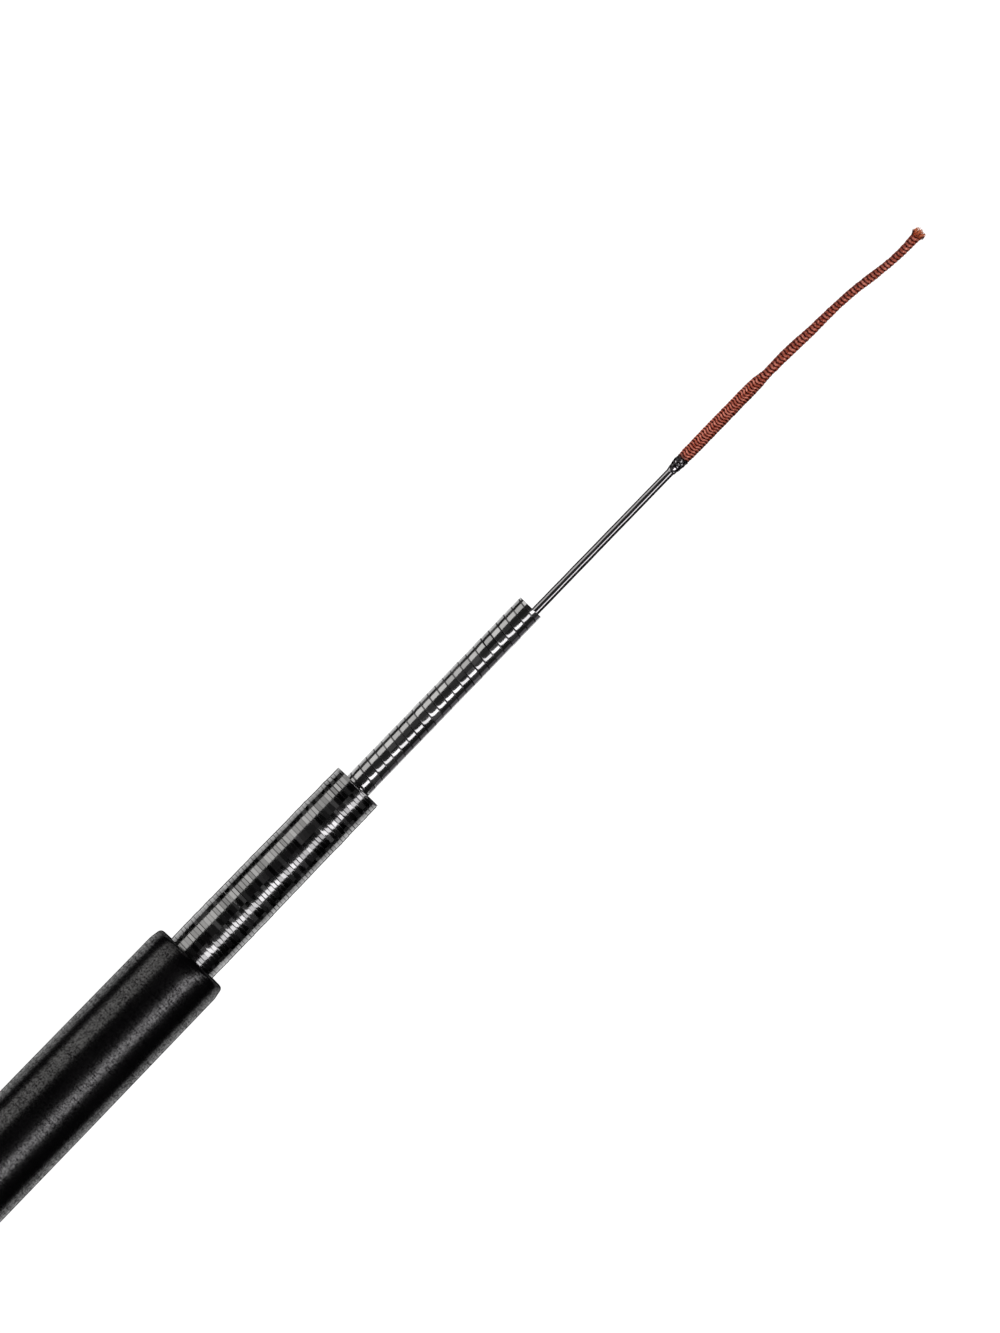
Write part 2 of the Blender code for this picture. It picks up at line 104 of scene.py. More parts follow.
YARN_HALF_THICK = 0.095
YARN_HALF_WIDE_ON_ROD = 0.155
YARN_HALF_WIDE_FREE = 0.205
STITCH_SLANT = 0.58
STITCH_SWING = 0.18
STITCH_DEPTH = 0.008
YARN_PROUD_AT = (0.0, 0.6, 14.0, 22.0)
YARN_STANDS_PROUD = (0.0, 0.055, 0.055, 0.03)
YARN_SAMPLES = 4000
SLANT_VARIES = 0.25
YARN_WANDERS = 0.012
UNDER_GLUE = 0.75
# Faces of the yarn that get painted shade: the -Y edge of the sleeve and the +Y side of the free part.
SLEEVE_EDGE_SHADE_FACES = (0.78, 0.90)
FREE_SIDE_SHADE_FACES = (-0.05, 0.45)
FREE_SIDE_SHADE = 0.45
CORE_INSIDE = 0.19
CORE_SIDES = 24
CORE_ROWS = 160
FIBRES = 170
FIBRE_POINTS = 8
FIBRE_SIDES = 5
FIBRE_RADIUS = 0.028
FIBRE_ROOT = 0.40
FIBRE_HELD = 0.35
FIBRE_SHORTEST = 0.75
FIBRE_LONGEST = 1.2
OUTER_SHORTER_BY = 0.3
FIBRE_LEAN = 0.75
LEAN_VARIES = 0.12
FIBRE_FANS = 0.55
FIBRE_SWAY = 0.09
BEADED_SHARE = 0.45
BEAD_SWELL = 1.1
DARK_FIBRES = 14
DARK_ROOT = 0.42
DARK_LAG = 0.25
RING_REACH = 0.03


def grid_skin(name, points, along, loop=False, **values):
    """Mesh over one grid of points or a batch of grids: (batch), rows, sides, xyz, in millimetres.
    Each face joins two neighbours of a row to the two beside them in the next row. A loop joins the
    last row to the first, and otherwise a fan to the mean of each end row shuts it. The UV map holds
    turns round the skin and metres along it, and each extra value becomes an attribute."""
    grids = points.reshape((-1,) + points.shape[-3:]) * MM
    batch, rows, sides = grids.shape[:3]
    reach = np.broadcast_to(np.asarray(along, float) * MM, (batch, rows))
    index = np.arange(batch * rows * sides).reshape(batch, rows, sides)
    beside = np.roll(index, -1, axis=2)
    last = rows if loop else rows - 1
    quads = np.stack([index, beside, np.roll(beside, -1, 1), np.roll(index, -1, 1)], -1)[:, :last]
    left = np.arange(sides) / sides
    right = left + 1.0 / sides
    low = reach[:, :last, None] + 0 * left
    high = np.roll(reach, -1, 1)[:, :last, None] + 0 * left
    turns = np.broadcast_to(np.stack([left, right, right, left], -1), (batch, last, sides, 4))
    quad_uv = np.stack([turns, np.stack([low, low, high, high], -1)], -1)
    ends = grids[:, [0, -1]]
    hubs = index.size + np.arange(batch * 2).reshape(batch, 2, 1) + 0 * index[:, :2]
    fans = np.stack([hubs, index[:, [0, -1]], beside[:, [0, -1]]], -1)
    fans[:, 0] = fans[:, 0][..., [0, 2, 1]]
    ends_along = reach[:, [0, -1], None] + 0 * left
    fan_turns = np.broadcast_to(np.stack([left, left, right], -1), fans.shape).copy()
    fan_turns[:, 0] = fan_turns[:, 0][..., [0, 2, 1]]
    fan_uv = np.stack([fan_turns, np.stack([ends_along] * 3, -1)], -1)
    if loop:
        ends, fans, fan_uv = ends[:0], fans[:0], fan_uv[:0]
    places = np.concatenate([grids.reshape(-1, 3), ends.mean(axis=2).reshape(-1, 3)])
    corners = np.concatenate([quads.ravel(), fans.ravel()]).astype(np.int32)
    starts = np.arange(quads.size // 4) * 4
    starts = np.concatenate([starts, quads.size + np.arange(fans.size // 3) * 3]).astype(np.int32)
    mesh = bpy.data.meshes.new(name)
    mesh.vertices.add(len(places))
    mesh.vertices.foreach_set("co", places.astype(np.float32).ravel())
    mesh.loops.add(len(corners))
    mesh.loops.foreach_set("vertex_index", corners)
    mesh.polygons.add(len(starts))
    mesh.polygons.foreach_set("loop_start", starts)
    mesh.update(calc_edges=True)
    mesh.shade_smooth()
    skin_map = mesh.uv_layers.new(name="skin")
    uv = np.concatenate([quad_uv.reshape(-1, 2), fan_uv.reshape(-1, 2)])
    skin_map.uv.foreach_set("vector", uv.astype(np.float32).ravel())
    for title, value in values.items():
        whole = np.broadcast_to(value, (batch, rows, sides)).astype(np.float32)
        hub_value = whole[:, [0, -1]].mean(axis=2).ravel()[: len(places) - index.size]
        attribute = mesh.attributes.new(title, "FLOAT", "POINT")
        attribute.data.foreach_set("value", np.concatenate([whole.ravel(), hub_value]))
    piece = bpy.data.objects.new(name, mesh)
    bpy.context.scene.collection.objects.link(piece)
    return piece


def axis_of(node):
    """The axis of a turned piece of the solid model, as its two end points: the mean of the distinct
    points in the ring at each end of its length."""
    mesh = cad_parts[node].data
    places = np.empty(len(mesh.vertices) * 3, np.float32)
    mesh.vertices.foreach_get("co", places)
    places = np.unique(np.round(places.reshape(-1, 3) / MM, 3), axis=0)
    low = places[places[:, 0] < places[:, 0].min() + RING_REACH].mean(axis=0)
    high = places[places[:, 0] > places[:, 0].max() - RING_REACH].mean(axis=0)
    return np.array([low, high], float)


def on_axis(axis, along):
    """Points on a straight axis at places along the pole: its ends shared out by length."""
    share = (np.asarray(along, float) - axis[0, 0]) / (axis[1, 0] - axis[0, 0])
    return axis[0] + share[..., None] * (axis[1] - axis[0])


def smooth_route(route, steps):
    """Catmull-Rom curve through the rows of a route: between two rows a cubic, whose slope at each
    is half the step between the rows on either side of it."""
    rows = np.vstack([2 * route[0] - route[1], route, 2 * route[-1] - route[-2]])
    a, b, c, d = rows[:-3], rows[1:-2], rows[2:-1], rows[3:]
    t = np.linspace(0.0, 1.0, steps, endpoint=False)[:, None, None]
    curve = b + 0.5 * t * (c - a + t * (2 * a - 5 * b + 4 * c - d + t * (3 * (b - c) + d - a)))
    return np.vstack([curve.transpose(1, 0, 2).reshape(-1, route.shape[1]), route[-1]])


def unit(vectors):
    """Vectors brought to length one."""
    return vectors / np.linalg.norm(vectors, axis=-1, keepdims=True)


def add_node(tree, kind, inputs=None, **settings):
    """Adds a node. Each input takes a number or colour, or is linked where it gets a socket."""
    made = tree.nodes.new(kind)
    for title, value in settings.items():
        setattr(made, title, value)
    for title, value in (inputs or {}).items():
        if isinstance(value, bpy.types.NodeSocket):
            tree.links.new(value, made.inputs[title])
        else:
            made.inputs[title].default_value = value
    return made


def reckon(tree, operation, *values):
    """The result of a Math node over numbers and sockets."""
    return add_node(tree, "ShaderNodeMath", dict(enumerate(values)), operation=operation).outputs[0]


def eased(tree, value, low, high, start=0.0, end=1.0):
    """A value taken smoothly from start, at low, to end, at high."""
    inputs = {"Value": value, "From Min": low, "From Max": high, "To Min": start, "To Max": end}
    made = add_node(tree, "ShaderNodeMapRange", inputs, interpolation_type="SMOOTHSTEP")
    return made.outputs["Result"]


def blended(tree, share, first, second):
    """A colour between two others, by a share."""
    inputs = {0: share, 6: first, 7: second}
    return add_node(tree, "ShaderNodeMix", inputs, data_type="RGBA").outputs[2]


def stored(tree, name):
    """A value that the mesh holds at each point."""
    return add_node(tree, "ShaderNodeAttribute", attribute_name=name).outputs["Fac"]


def mottled(tree, scale, stretch=(1.0, 1.0, 1.0), detail=2.0):
    """Noise from 0 to 1 over the piece, with so many lumps in a metre, drawn out by a stretch."""
    spot = add_node(tree, "ShaderNodeTexCoord").outputs["Object"]
    place = add_node(tree, "ShaderNodeMapping", {"Vector": spot, "Scale": stretch}).outputs[0]
    inputs = {"Vector": place, "Scale": scale, "Detail": detail}
    return add_node(tree, "ShaderNodeTexNoise", inputs).outputs["Fac"]


def relief(tree, height, depth):
    """A normal raised by a height from 0 to 1, so many metres deep."""
    return add_node(tree, "ShaderNodeBump", {"Height": height, "Distance": depth}).outputs[0]


def new_material(name, **sockets):
    """A Principled material, with plain values for its shader's sockets. Returns material, tree and
    shader."""
    material = bpy.data.materials.new(name)
    material.use_nodes = True
    shader = material.node_tree.nodes["Principled BSDF"]
    for title, value in sockets.items():
        shader.inputs[title.replace("_", " ")].default_value = value
    return material, material.node_tree, shader


def feed(tree, shader, **sources):
    """Links sources to the shader's sockets, which are written with _ for a space."""
    for title, source in sources.items():
        tree.links.new(source, shader.inputs[title.replace("_", " ")])


tip_axis = axis_of("tip_blank")
tip_direction = unit(tip_axis[1] - tip_axis[0])
sleeve_start = on_axis(tip_axis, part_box("lillian")[0].x / MM)
route = smooth_route(np.array(LILLIAN_ROUTE), ROUTE_STEPS)
across_y = np.array([0.0, -1.0, 0.0])
across_z = np.array([0.0, 0.0, -1.0])
cord_line = (
    sleeve_start
    + route[:, :1] * tip_direction
    + route[:, 1:2] * across_z
    + route[:, 2:3] * across_y
)
cord_line = np.vstack([sleeve_start - UNDER_GLUE * tip_direction, cord_line])
cord_radius = np.concatenate([route[:1, 3], route[:, 3]])
cord_steps = np.linalg.norm(np.diff(cord_line, axis=0), axis=1)
cord_reach = np.concatenate([[0.0], np.cumsum(cord_steps)]) - UNDER_GLUE


def cord_place(reach):
    """Centre, radius and cross directions of the cord at distances along it: first round towards +Y,
    then up, each square to the cord."""
    centre = np.stack([np.interp(reach, cord_reach, cord_line[:, i]) for i in range(3)], -1)
    tangents = unit(np.gradient(cord_line, cord_reach, axis=0))
    ahead = unit(np.stack([np.interp(reach, cord_reach, tangents[:, i]) for i in range(3)], -1))
    up = unit(np.cross(ahead, [0.0, 1.0, 0.0]))
    side = np.cross(up, ahead)
    return centre, np.interp(reach, cord_reach, cord_radius), side, up, ahead


def knitted_yarn():
    """Path of the one yarn. With t turning once a stitch, it goes round the cord at t over the
    stitches in a round, swung by the sine of 2t, it climbs one course a round and rises and falls
    with the cosine of t, and its legs stand proud of its heads and feet with the cosine of 2t."""
    fine = np.linspace(cord_reach[0], cord_reach[-1] - FRAYED_LENGTH, YARN_SAMPLES)
    course = np.interp(fine, [SLEEVE_ENDS, FREE_STARTS], [COURSE_ON_ROD, COURSE_FREE])
    courses = np.concatenate([[0.0], np.cumsum(np.diff(fine) / course[1:])])
    count = int(courses[-1] * STITCHES_ROUND * STITCH_POINTS)
    t = np.arange(count) * math.tau / STITCH_POINTS
    level = np.interp(t / math.tau / STITCHES_ROUND, courses, fine)
    _, radius, _, _, _ = cord_place(level)
    random = np.random.default_rng(11)
    stitch = (t / math.tau).astype(int)
    uneven_stitch = random.normal(0.0, 1.0, stitch[-1] + 2)
    vary = np.interp(t / math.tau, np.arange(len(uneven_stitch)), uneven_stitch)
    proud = np.interp(level, YARN_PROUD_AT, YARN_STANDS_PROUD)
    ring = radius - YARN_HALF_THICK - STITCH_DEPTH + proud
    rise = STITCH_SLANT * ring / STITCHES_ROUND * (1.0 + SLANT_VARIES * vary)
    reach = np.clip(level + rise * np.cos(t), cord_reach[0], cord_reach[-1])
    start = math.pi / 2 - math.pi / STITCHES_ROUND
    turn = (t + STITCH_SWING * np.sin(2 * t)) / STITCHES_ROUND + start
    distance = ring - STITCH_DEPTH * np.cos(2 * t) + YARN_WANDERS * vary
    centre, _, side, up, ahead = cord_place(reach)
    out = side * np.cos(turn)[:, None] + up * np.sin(turn)[:, None]
    wide = np.interp(level, [SLEEVE_ENDS, FREE_STARTS], [YARN_HALF_WIDE_ON_ROD, YARN_HALF_WIDE_FREE])
    return centre + out * distance[:, None], out, wide, reach, -np.cos(2 * t)


def flat_tube(line, out, half_thick, half_wide, sides):
    """A tube along a line: at each point an ellipse, thin along the given outward direction and
    wide square to it and to the line."""
    ahead = unit(np.gradient(line, axis=-2))
    wide_way = unit(np.cross(ahead, out))
    out = np.cross(wide_way, ahead)
    turn = np.arange(sides) * math.tau / sides
    thick = (out * np.asarray(half_thick)[..., None])[..., None, :] * np.cos(turn)[:, None]
    wide = (wide_way * np.asarray(half_wide)[..., None])[..., None, :] * np.sin(turn)[:, None]
    return line[..., None, :] + thick + wide


yarn_line, yarn_out, yarn_wide, yarn_reach, yarn_proud = knitted_yarn()
yarn_thick = np.full(len(yarn_line), YARN_HALF_THICK)
yarn_skin = flat_tube(yarn_line, yarn_out, yarn_thick, yarn_wide, YARN_SIDES)
yarn_length = np.cumsum(np.linalg.norm(np.gradient(yarn_line, axis=0), axis=1))
yarn_crown = np.cos(np.arange(YARN_SIDES) * math.tau / YARN_SIDES)
sleeve_share = np.interp(yarn_reach, [SLEEVE_ENDS, FREE_STARTS], [1.0, 0.0])
# Painted shade: the yarn is made black along the -Y edge of the sleeve.
edge_grime = np.interp(-yarn_out[:, 1], SLEEVE_EDGE_SHADE_FACES, [0.0, 1.0]) * sleeve_share
# Painted shade: the yarn is darker on the +Y side of the free part.
back_grime = np.interp(yarn_out[:, 1], FREE_SIDE_SHADE_FACES, [0.0, FREE_SIDE_SHADE]) * (1.0 - sleeve_share)
lillian_yarn = grid_skin(
    "lillian_yarn",
    yarn_skin,
    yarn_length,
    proud=yarn_proud[:, None],
    crown=yarn_crown[None],
    reach=yarn_reach[:, None],
    black=edge_grime[:, None],
    grime=back_grime[:, None],
)

# A dark tube inside the knit: painted shade that shows in the gaps between the stitches.
core_reach = np.linspace(cord_reach[0], cord_reach[-1] - FRAYED_LENGTH, CORE_ROWS)
core_centre, core_radius, core_side, core_up, _ = cord_place(core_reach)
core_turn = (np.arange(CORE_SIDES) * math.tau / CORE_SIDES)[:, None]
core_ring = core_side[:, None] * np.cos(core_turn) + core_up[:, None] * np.sin(core_turn)
core_skin = core_centre[:, None] + core_ring * (core_radius - CORE_INSIDE)[:, None, None]
lillian_core = grid_skin("lillian_core", core_skin, core_reach)


def frayed_fibres():
    """Fibres that fan out of the cut end. Each starts inside the last course and leans outwards with
    the power 1.6 of its length, swaying by a sine, and some swell to a melted bead at the tip, with
    the power 8 of their length. The outermost are shorter, and a few outer ones are dark."""
    random = np.random.default_rng(5)
    share = np.linspace(0.0, 1.0, FIBRE_POINTS)
    dark = np.arange(FIBRES) < DARK_FIBRES
    turn = random.uniform(0.0, math.tau, FIBRES)
    root = FIBRE_ROOT * np.sqrt(random.uniform(0.0, 1.0, FIBRES))
    root = np.where(dark, DARK_ROOT, root)
    length = random.uniform(FIBRE_SHORTEST, FIBRE_LONGEST, FIBRES)
    length = length - OUTER_SHORTER_BY * (root / FIBRE_ROOT) ** 2
    lean = FIBRE_LEAN * root / FIBRE_ROOT + random.normal(0.0, LEAN_VARIES, FIBRES)
    sway = random.normal(0.0, FIBRE_SWAY, FIBRES)
    centre, _, side, up, ahead = cord_place(np.array([cord_reach[-1] - FRAYED_LENGTH - FIBRE_HELD]))
    out = side * np.cos(turn)[:, None] + up * np.sin(turn)[:, None]
    round_way = -side * np.sin(turn)[:, None] + up * np.cos(turn)[:, None]
    forward = length[:, None] * share * (1.0 - DARK_LAG * dark[:, None] * share)
    forward = forward + FIBRE_HELD * share**0.5
    outward = root[:, None] + (lean * length * FIBRE_FANS)[:, None] * share**1.6
    round_by = sway[:, None] * np.sin(share * 4.0) + 0.02 * dark[:, None]
    line = (
        centre
        + forward[..., None] * ahead
        + outward[..., None] * out[:, None]
        + round_by[..., None] * round_way[:, None]
    )
    bead = np.where(random.uniform(0.0, 1.0, FIBRES) < BEADED_SHARE, BEAD_SWELL, 0.0)
    thick = FIBRE_RADIUS * (1.0 - 0.25 * share + bead[:, None] * share**8)
    whole_out = np.broadcast_to(out[:, None], line.shape)
    skin = flat_tube(line, whole_out, thick, thick, FIBRE_SIDES)
    return skin, share * length[:, None], dark


fibre_skin, fibre_reach, fibre_dark = frayed_fibres()
lillian_fray = grid_skin(
    "lillian_frayed_end", fibre_skin, fibre_reach, dark=fibre_dark[:, None, None]
)

# The yarn's colour is painted darker down in its loops and at the sides of each yarn, as painted
# shade between the stitches, and its filaments show as fine twisted streaks. Glue soaks into its
# start. Its tone differs in patches. Painted shade makes it black along the -Y edge of the sleeve, and
# darker on the +Y side of the free part.
GLUE_SOAKS_TO = (0.15, 0.75)
YARN_LIGHT = (0.80, 0.27, 0.19, 1.0)
YARN_MIDDLE = (0.36, 0.058, 0.026, 1.0)
YARN_SHADED = (0.075, 0.006, 0.002, 1.0)
YARN_GLUE_AND_EDGE_SHADE = (0.012, 0.008, 0.008, 1.0)
CORE_SHADE = (0.040, 0.005, 0.003, 1.0)
FRAY_TIP_HIGHLIGHT = (1.0, 0.42, 0.22, 1.0)
FRAY_RED = (0.42, 0.055, 0.014, 1.0)
FRAY_DARK = (0.06, 0.022, 0.014, 1.0)
FRAY_HIGHLIGHT_ALONG = (0.0002, 0.0009)

knit, tree, shader = new_material("knitted yarn", Roughness=0.4, Specular_IOR_Level=0.22)
patches = mottled(tree, 2600.0, detail=3.0)
# Painted shade: the yarn is darkened down in its loops and at the sides of each yarn.
legs = eased(tree, stored(tree, "proud"), -1.0, 0.5, 0.7, 1.0)
legs = reckon(tree, "MULTIPLY", legs, eased(tree, stored(tree, "crown"), 0.62, 1.0))
unshaded = reckon(tree, "MULTIPLY", legs, reckon(tree, "SUBTRACT", 1.0, stored(tree, "grime")))
body = blended(tree, eased(tree, patches, 0.35, 0.7), YARN_MIDDLE, YARN_LIGHT)
yarn_uv = add_node(tree, "ShaderNodeUVMap", uv_map="skin").outputs[0]
twist = add_node(tree, "ShaderNodeMapping", {"Vector": yarn_uv, "Scale": (7.0, 2500.0, 1.0)})
streaks = add_node(tree, "ShaderNodeTexNoise", {"Vector": twist.outputs[0], "Scale": 1.0})
glue_and_edge_shade = reckon(tree, "ADD", stored(tree, "reach"), mottled(tree, 3400.0))
glue_and_edge_shade = eased(tree, glue_and_edge_shade, *GLUE_SOAKS_TO, 1.0, 0.0)
# Painted shade along the -Y edge of the sleeve, taken as dark as the glue.
edge_shaded = eased(tree, patches, 0.3, 0.6, 0.95, 0.6)
edge_shaded = reckon(tree, "MULTIPLY", stored(tree, "black"), edge_shaded)
glue_and_edge_shade = reckon(tree, "MAXIMUM", glue_and_edge_shade, edge_shaded)
feed(
    tree,
    shader,
    Base_Color=blended(tree, glue_and_edge_shade, blended(tree, unshaded, YARN_SHADED, body), YARN_GLUE_AND_EDGE_SHADE),
    Normal=relief(tree, streaks.outputs["Fac"], 0.00003),
)
lillian_yarn.data.materials.append(knit)

# Nearly black: painted shade inside the hollow knit.
core_shade, tree, shader = new_material(
    "lillian core", Roughness=0.8, Specular_IOR_Level=0.1, Base_Color=CORE_SHADE
)
feed(tree, shader, Normal=relief(tree, mottled(tree, 9000.0), 0.00004))
lillian_core.data.materials.append(core_shade)

fray, tree, shader = new_material("frayed fibres", Roughness=0.45, Specular_IOR_Level=0.15)
fibre_uv = add_node(tree, "ShaderNodeUVMap", uv_map="skin").outputs[0]
fibre_along = add_node(tree, "ShaderNodeSeparateXYZ", {0: fibre_uv}).outputs[1]
# The fibres are painted lighter towards their tips, in patches: a painted highlight on the tuft.
fibre_tip_highlight = eased(tree, fibre_along, *FRAY_HIGHLIGHT_ALONG)
bright = reckon(tree, "MULTIPLY", fibre_tip_highlight, mottled(tree, 3000.0))
bright = blended(tree, bright, FRAY_RED, FRAY_TIP_HIGHLIGHT)
feed(tree, shader, Base_Color=blended(tree, stored(tree, "dark"), bright, FRAY_DARK))
lillian_fray.data.materials.append(fray)

for piece in (lillian_yarn, lillian_core, lillian_fray):
    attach(piece, "tip")
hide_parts("lillian")

# Table and lamps
# The pole lies on a white table under two long lamps: a narrow bright one on its -Y side, aslant to
# it, so that each ring's slope shows as a step in the highlight, and a wide softer one on its +Y
# side. Black felt round the set and on the table keeps the gloss dark between.
FLOOR_LEVEL = -7.6
FLOOR_HALF = 200.0
FLOOR_ALBEDO = 0.22
FLOOR_GLOW_NEAR = 0.90
GLOW_FADES_BESIDE = (0.25, 0.9)
GLOW_FADES_ALONG = (2.6, 4.2)
WORLD_FILL = 0.07
LAMP_LENGTH = 10.0
LAMP_MIDDLE = 2.0
FELT_FAR_EDGE = 13.0
SECTION_MOUTHS = (1050.0, 1073.9, 1098.8)
FELT_NEAR_LEFT = (26.0, 21.0, 16.5, 4.0)
FELT_NEAR_RIGHT = (26.0, 21.0, 6.0, 4.0)
FELT_UNDER_POLE = (7.5, 6.5, 3.2, 3.0)
GREY_CARD_EDGE = 50.0
GREY_CARD = (0.235, 0.22, 0.245, 1.0)
FELT_LIFT = 0.0002
DOME_RADIUS = 14.0


def seen_directly(tree):
    """One for rays from the camera, from gloss and through glass, and nought for the rest."""
    path = add_node(tree, "ShaderNodeLightPath").outputs
    glossy = reckon(tree, "MAXIMUM", path["Is Glossy Ray"], path["Is Transmission Ray"])
    return reckon(tree, "MAXIMUM", path["Is Camera Ray"], glossy)


def flat_sheet(name, low, high, z):
    """A flat sheet, facing up, in metres, between a low and a high edge given as rows of (x, y)."""
    corners = [(x, y, z) for x, y in [*low, *high[::-1]]]
    mesh = bpy.data.meshes.new(name)
    mesh.from_pydata(corners, [], [tuple(range(len(corners)))])
    sheet = bpy.data.objects.new(name, mesh)
    bpy.context.scene.collection.objects.link(sheet)
    return sheet


def strip_lamp(name, angle, half_angle, distance, middle, skew, radiance, colour):
    """A long lamp beside the pole, so many degrees over from straight above it, towards -Y where
    the angle is positive, and wide by twice the half angle in the plane square to the pole at its
    middle. A skew turns it towards +Y as it goes to the tip. Its power is its radiance times pi
    times its area."""
    over = math.radians(angle)
    turned_by = math.radians(skew)
    along = np.array([math.cos(turned_by), math.sin(turned_by), 0.0])
    across = np.array([0.0, math.cos(over), math.sin(over)])
    away = unit(np.cross(along, across))
    width = 2 * distance * math.tan(math.radians(half_angle))
    width *= math.sqrt(1.0 - float(along @ across) ** 2)
    data = bpy.data.lights.new(name, "AREA")
    data.shape = "RECTANGLE"
    data.size = LAMP_LENGTH
    data.size_y = width
    data.energy = radiance * math.pi * LAMP_LENGTH * width
    data.color = colour
    lamp = bpy.data.objects.new(name, data)
    directions = np.stack([along, np.cross(away, along), away], -1)
    place = (middle, -distance * math.sin(over), distance * math.cos(over))
    lamp.matrix_world = Matrix.Translation(place) @ Matrix(directions.tolist()).to_4x4()
    lamp.visible_camera = False
    bpy.context.scene.collection.objects.link(lamp)


strip_lamp(
    "bright_strip",
    angle=39.4,
    half_angle=11.0,
    distance=0.5,
    middle=MIDDLE_ALONG * MM,
    skew=-45.0,
    radiance=4.8,
    colour=(1.0, 0.98, 1.0),
)
strip_lamp(
    "soft_strip",
    angle=-63.5,
    half_angle=20.5,
    distance=1.2,
    middle=LAMP_MIDDLE,
    skew=0.0,
    radiance=2.0,
    colour=(1.0, 0.985, 0.965),
)


def stepped(reaches):
    """An edge along the whole set that keeps each distance from the pole up to the next mouth."""
    ends = [felt_low, *(mouth * MM for mouth in SECTION_MOUTHS), felt_high]
    spans = zip(ends[:-1], ends[1:], reaches)
    return [(x, reach * MM) for start, stop, reach in spans for x in (start, stop)]


felt_low = LAMP_MIDDLE - FELT_FAR_EDGE
felt_high = LAMP_MIDDLE + FELT_FAR_EDGE
table = flat_sheet(
    "table",
    [(-FLOOR_HALF, -FLOOR_HALF), (FLOOR_HALF, -FLOOR_HALF)],
    [(-FLOOR_HALF, FLOOR_HALF), (FLOOR_HALF, FLOOR_HALF)],
    FLOOR_LEVEL * MM,
)
white = bpy.data.materials.new("white table")
white.use_nodes = True
tree = white.node_tree
tree.nodes.clear()
spot = add_node(tree, "ShaderNodeTexCoord").outputs["Object"]
spot_x, spot_y, _ = add_node(tree, "ShaderNodeSeparateXYZ", {0: spot}).outputs
beside_pole = eased(tree, reckon(tree, "ABSOLUTE", spot_y), *GLOW_FADES_BESIDE, 1.0, 0.0)
off_middle = reckon(tree, "ABSOLUTE", reckon(tree, "SUBTRACT", spot_x, LAMP_MIDDLE))
along_pole = eased(tree, off_middle, *GLOW_FADES_ALONG, 1.0, 0.0)
near_pole = reckon(tree, "MULTIPLY", beside_pole, along_pole)
glow = reckon(tree, "MULTIPLY_ADD", near_pole, FLOOR_GLOW_NEAR - 1.0, 1.0)
glow = reckon(tree, "MULTIPLY", glow, seen_directly(tree))
paper = add_node(tree, "ShaderNodeBsdfDiffuse", {"Color": (FLOOR_ALBEDO,) * 3 + (1.0,)}).outputs[0]
shine = add_node(tree, "ShaderNodeEmission", {"Strength": glow}).outputs[0]
top = add_node(tree, "ShaderNodeAddShader", {0: paper, 1: shine}).outputs[0]
clear = add_node(tree, "ShaderNodeBsdfTransparent").outputs[0]
under = add_node(tree, "ShaderNodeNewGeometry").outputs["Backfacing"]
both = add_node(tree, "ShaderNodeMixShader", {0: under, 1: top, 2: clear}).outputs[0]
add_node(tree, "ShaderNodeOutputMaterial", {"Surface": both})
table.data.materials.append(white)

felt = bpy.data.materials.new("black felt")
felt.use_nodes = True
felt.node_tree.nodes.clear()
dull = add_node(felt.node_tree, "ShaderNodeEmission", {"Strength": 0.0}).outputs[0]
add_node(felt.node_tree, "ShaderNodeOutputMaterial", {"Surface": dull})
felt_level = FLOOR_LEVEL * MM + FELT_LIFT
right_far, left_far = [[(felt_low, y), (felt_high, y)] for y in (-FELT_FAR_EDGE, FELT_FAR_EDGE)]
under_right = stepped([-reach for reach in FELT_UNDER_POLE])
felts = [
    flat_sheet("felt_right", right_far, stepped([-near for near in FELT_NEAR_RIGHT]), felt_level),
    flat_sheet("felt_left", stepped(FELT_NEAR_LEFT), left_far, felt_level),
    flat_sheet("felt_under_pole", under_right, stepped(FELT_UNDER_POLE), felt_level),
]
bpy.ops.mesh.primitive_ico_sphere_add(
    subdivisions=4, radius=DOME_RADIUS, location=(LAMP_MIDDLE, 0.0, 0.0)
)
felts.append(bpy.context.object)
felts[-1].name = "felt_dome"
# A grey card beside sections three and two glows dimly and is seen only in the gloss: a painted grey
# reflection.
card_ends = [(mouth * MM, -GREY_CARD_EDGE * MM) for mouth in SECTION_MOUTHS[1:]]
card_near = [(x, -FELT_NEAR_RIGHT[2] * MM) for x, _ in card_ends]
grey_card = flat_sheet("grey_card", card_ends, card_near, felt_level + FELT_LIFT)
grey = bpy.data.materials.new("grey card")
grey.use_nodes = True
grey.node_tree.nodes.clear()
dim = add_node(grey.node_tree, "ShaderNodeEmission", {"Color": GREY_CARD, "Strength": 1.0}).outputs[0]
add_node(grey.node_tree, "ShaderNodeOutputMaterial", {"Surface": dim})
grey_card.data.materials.append(grey)
for sheet in felts:
    sheet.data.materials.append(felt)
for sheet in [*felts, grey_card]:
    sheet.visible_camera = False
    sheet.visible_diffuse = False
    sheet.visible_transmission = False
    sheet.visible_shadow = False

world = bpy.data.worlds.new("room")
bpy.context.scene.world = world
world.use_nodes = True
tree = world.node_tree
room = reckon(tree, "MULTIPLY_ADD", seen_directly(tree), 1.0 - WORLD_FILL, WORLD_FILL)
tree.links.new(room, tree.nodes["Background"].inputs["Strength"])
tree.nodes["Background"].inputs["Color"].default_value = (1.0, 1.0, 1.0, 1.0)
bpy.context.scene.view_settings.view_transform = "Standard"

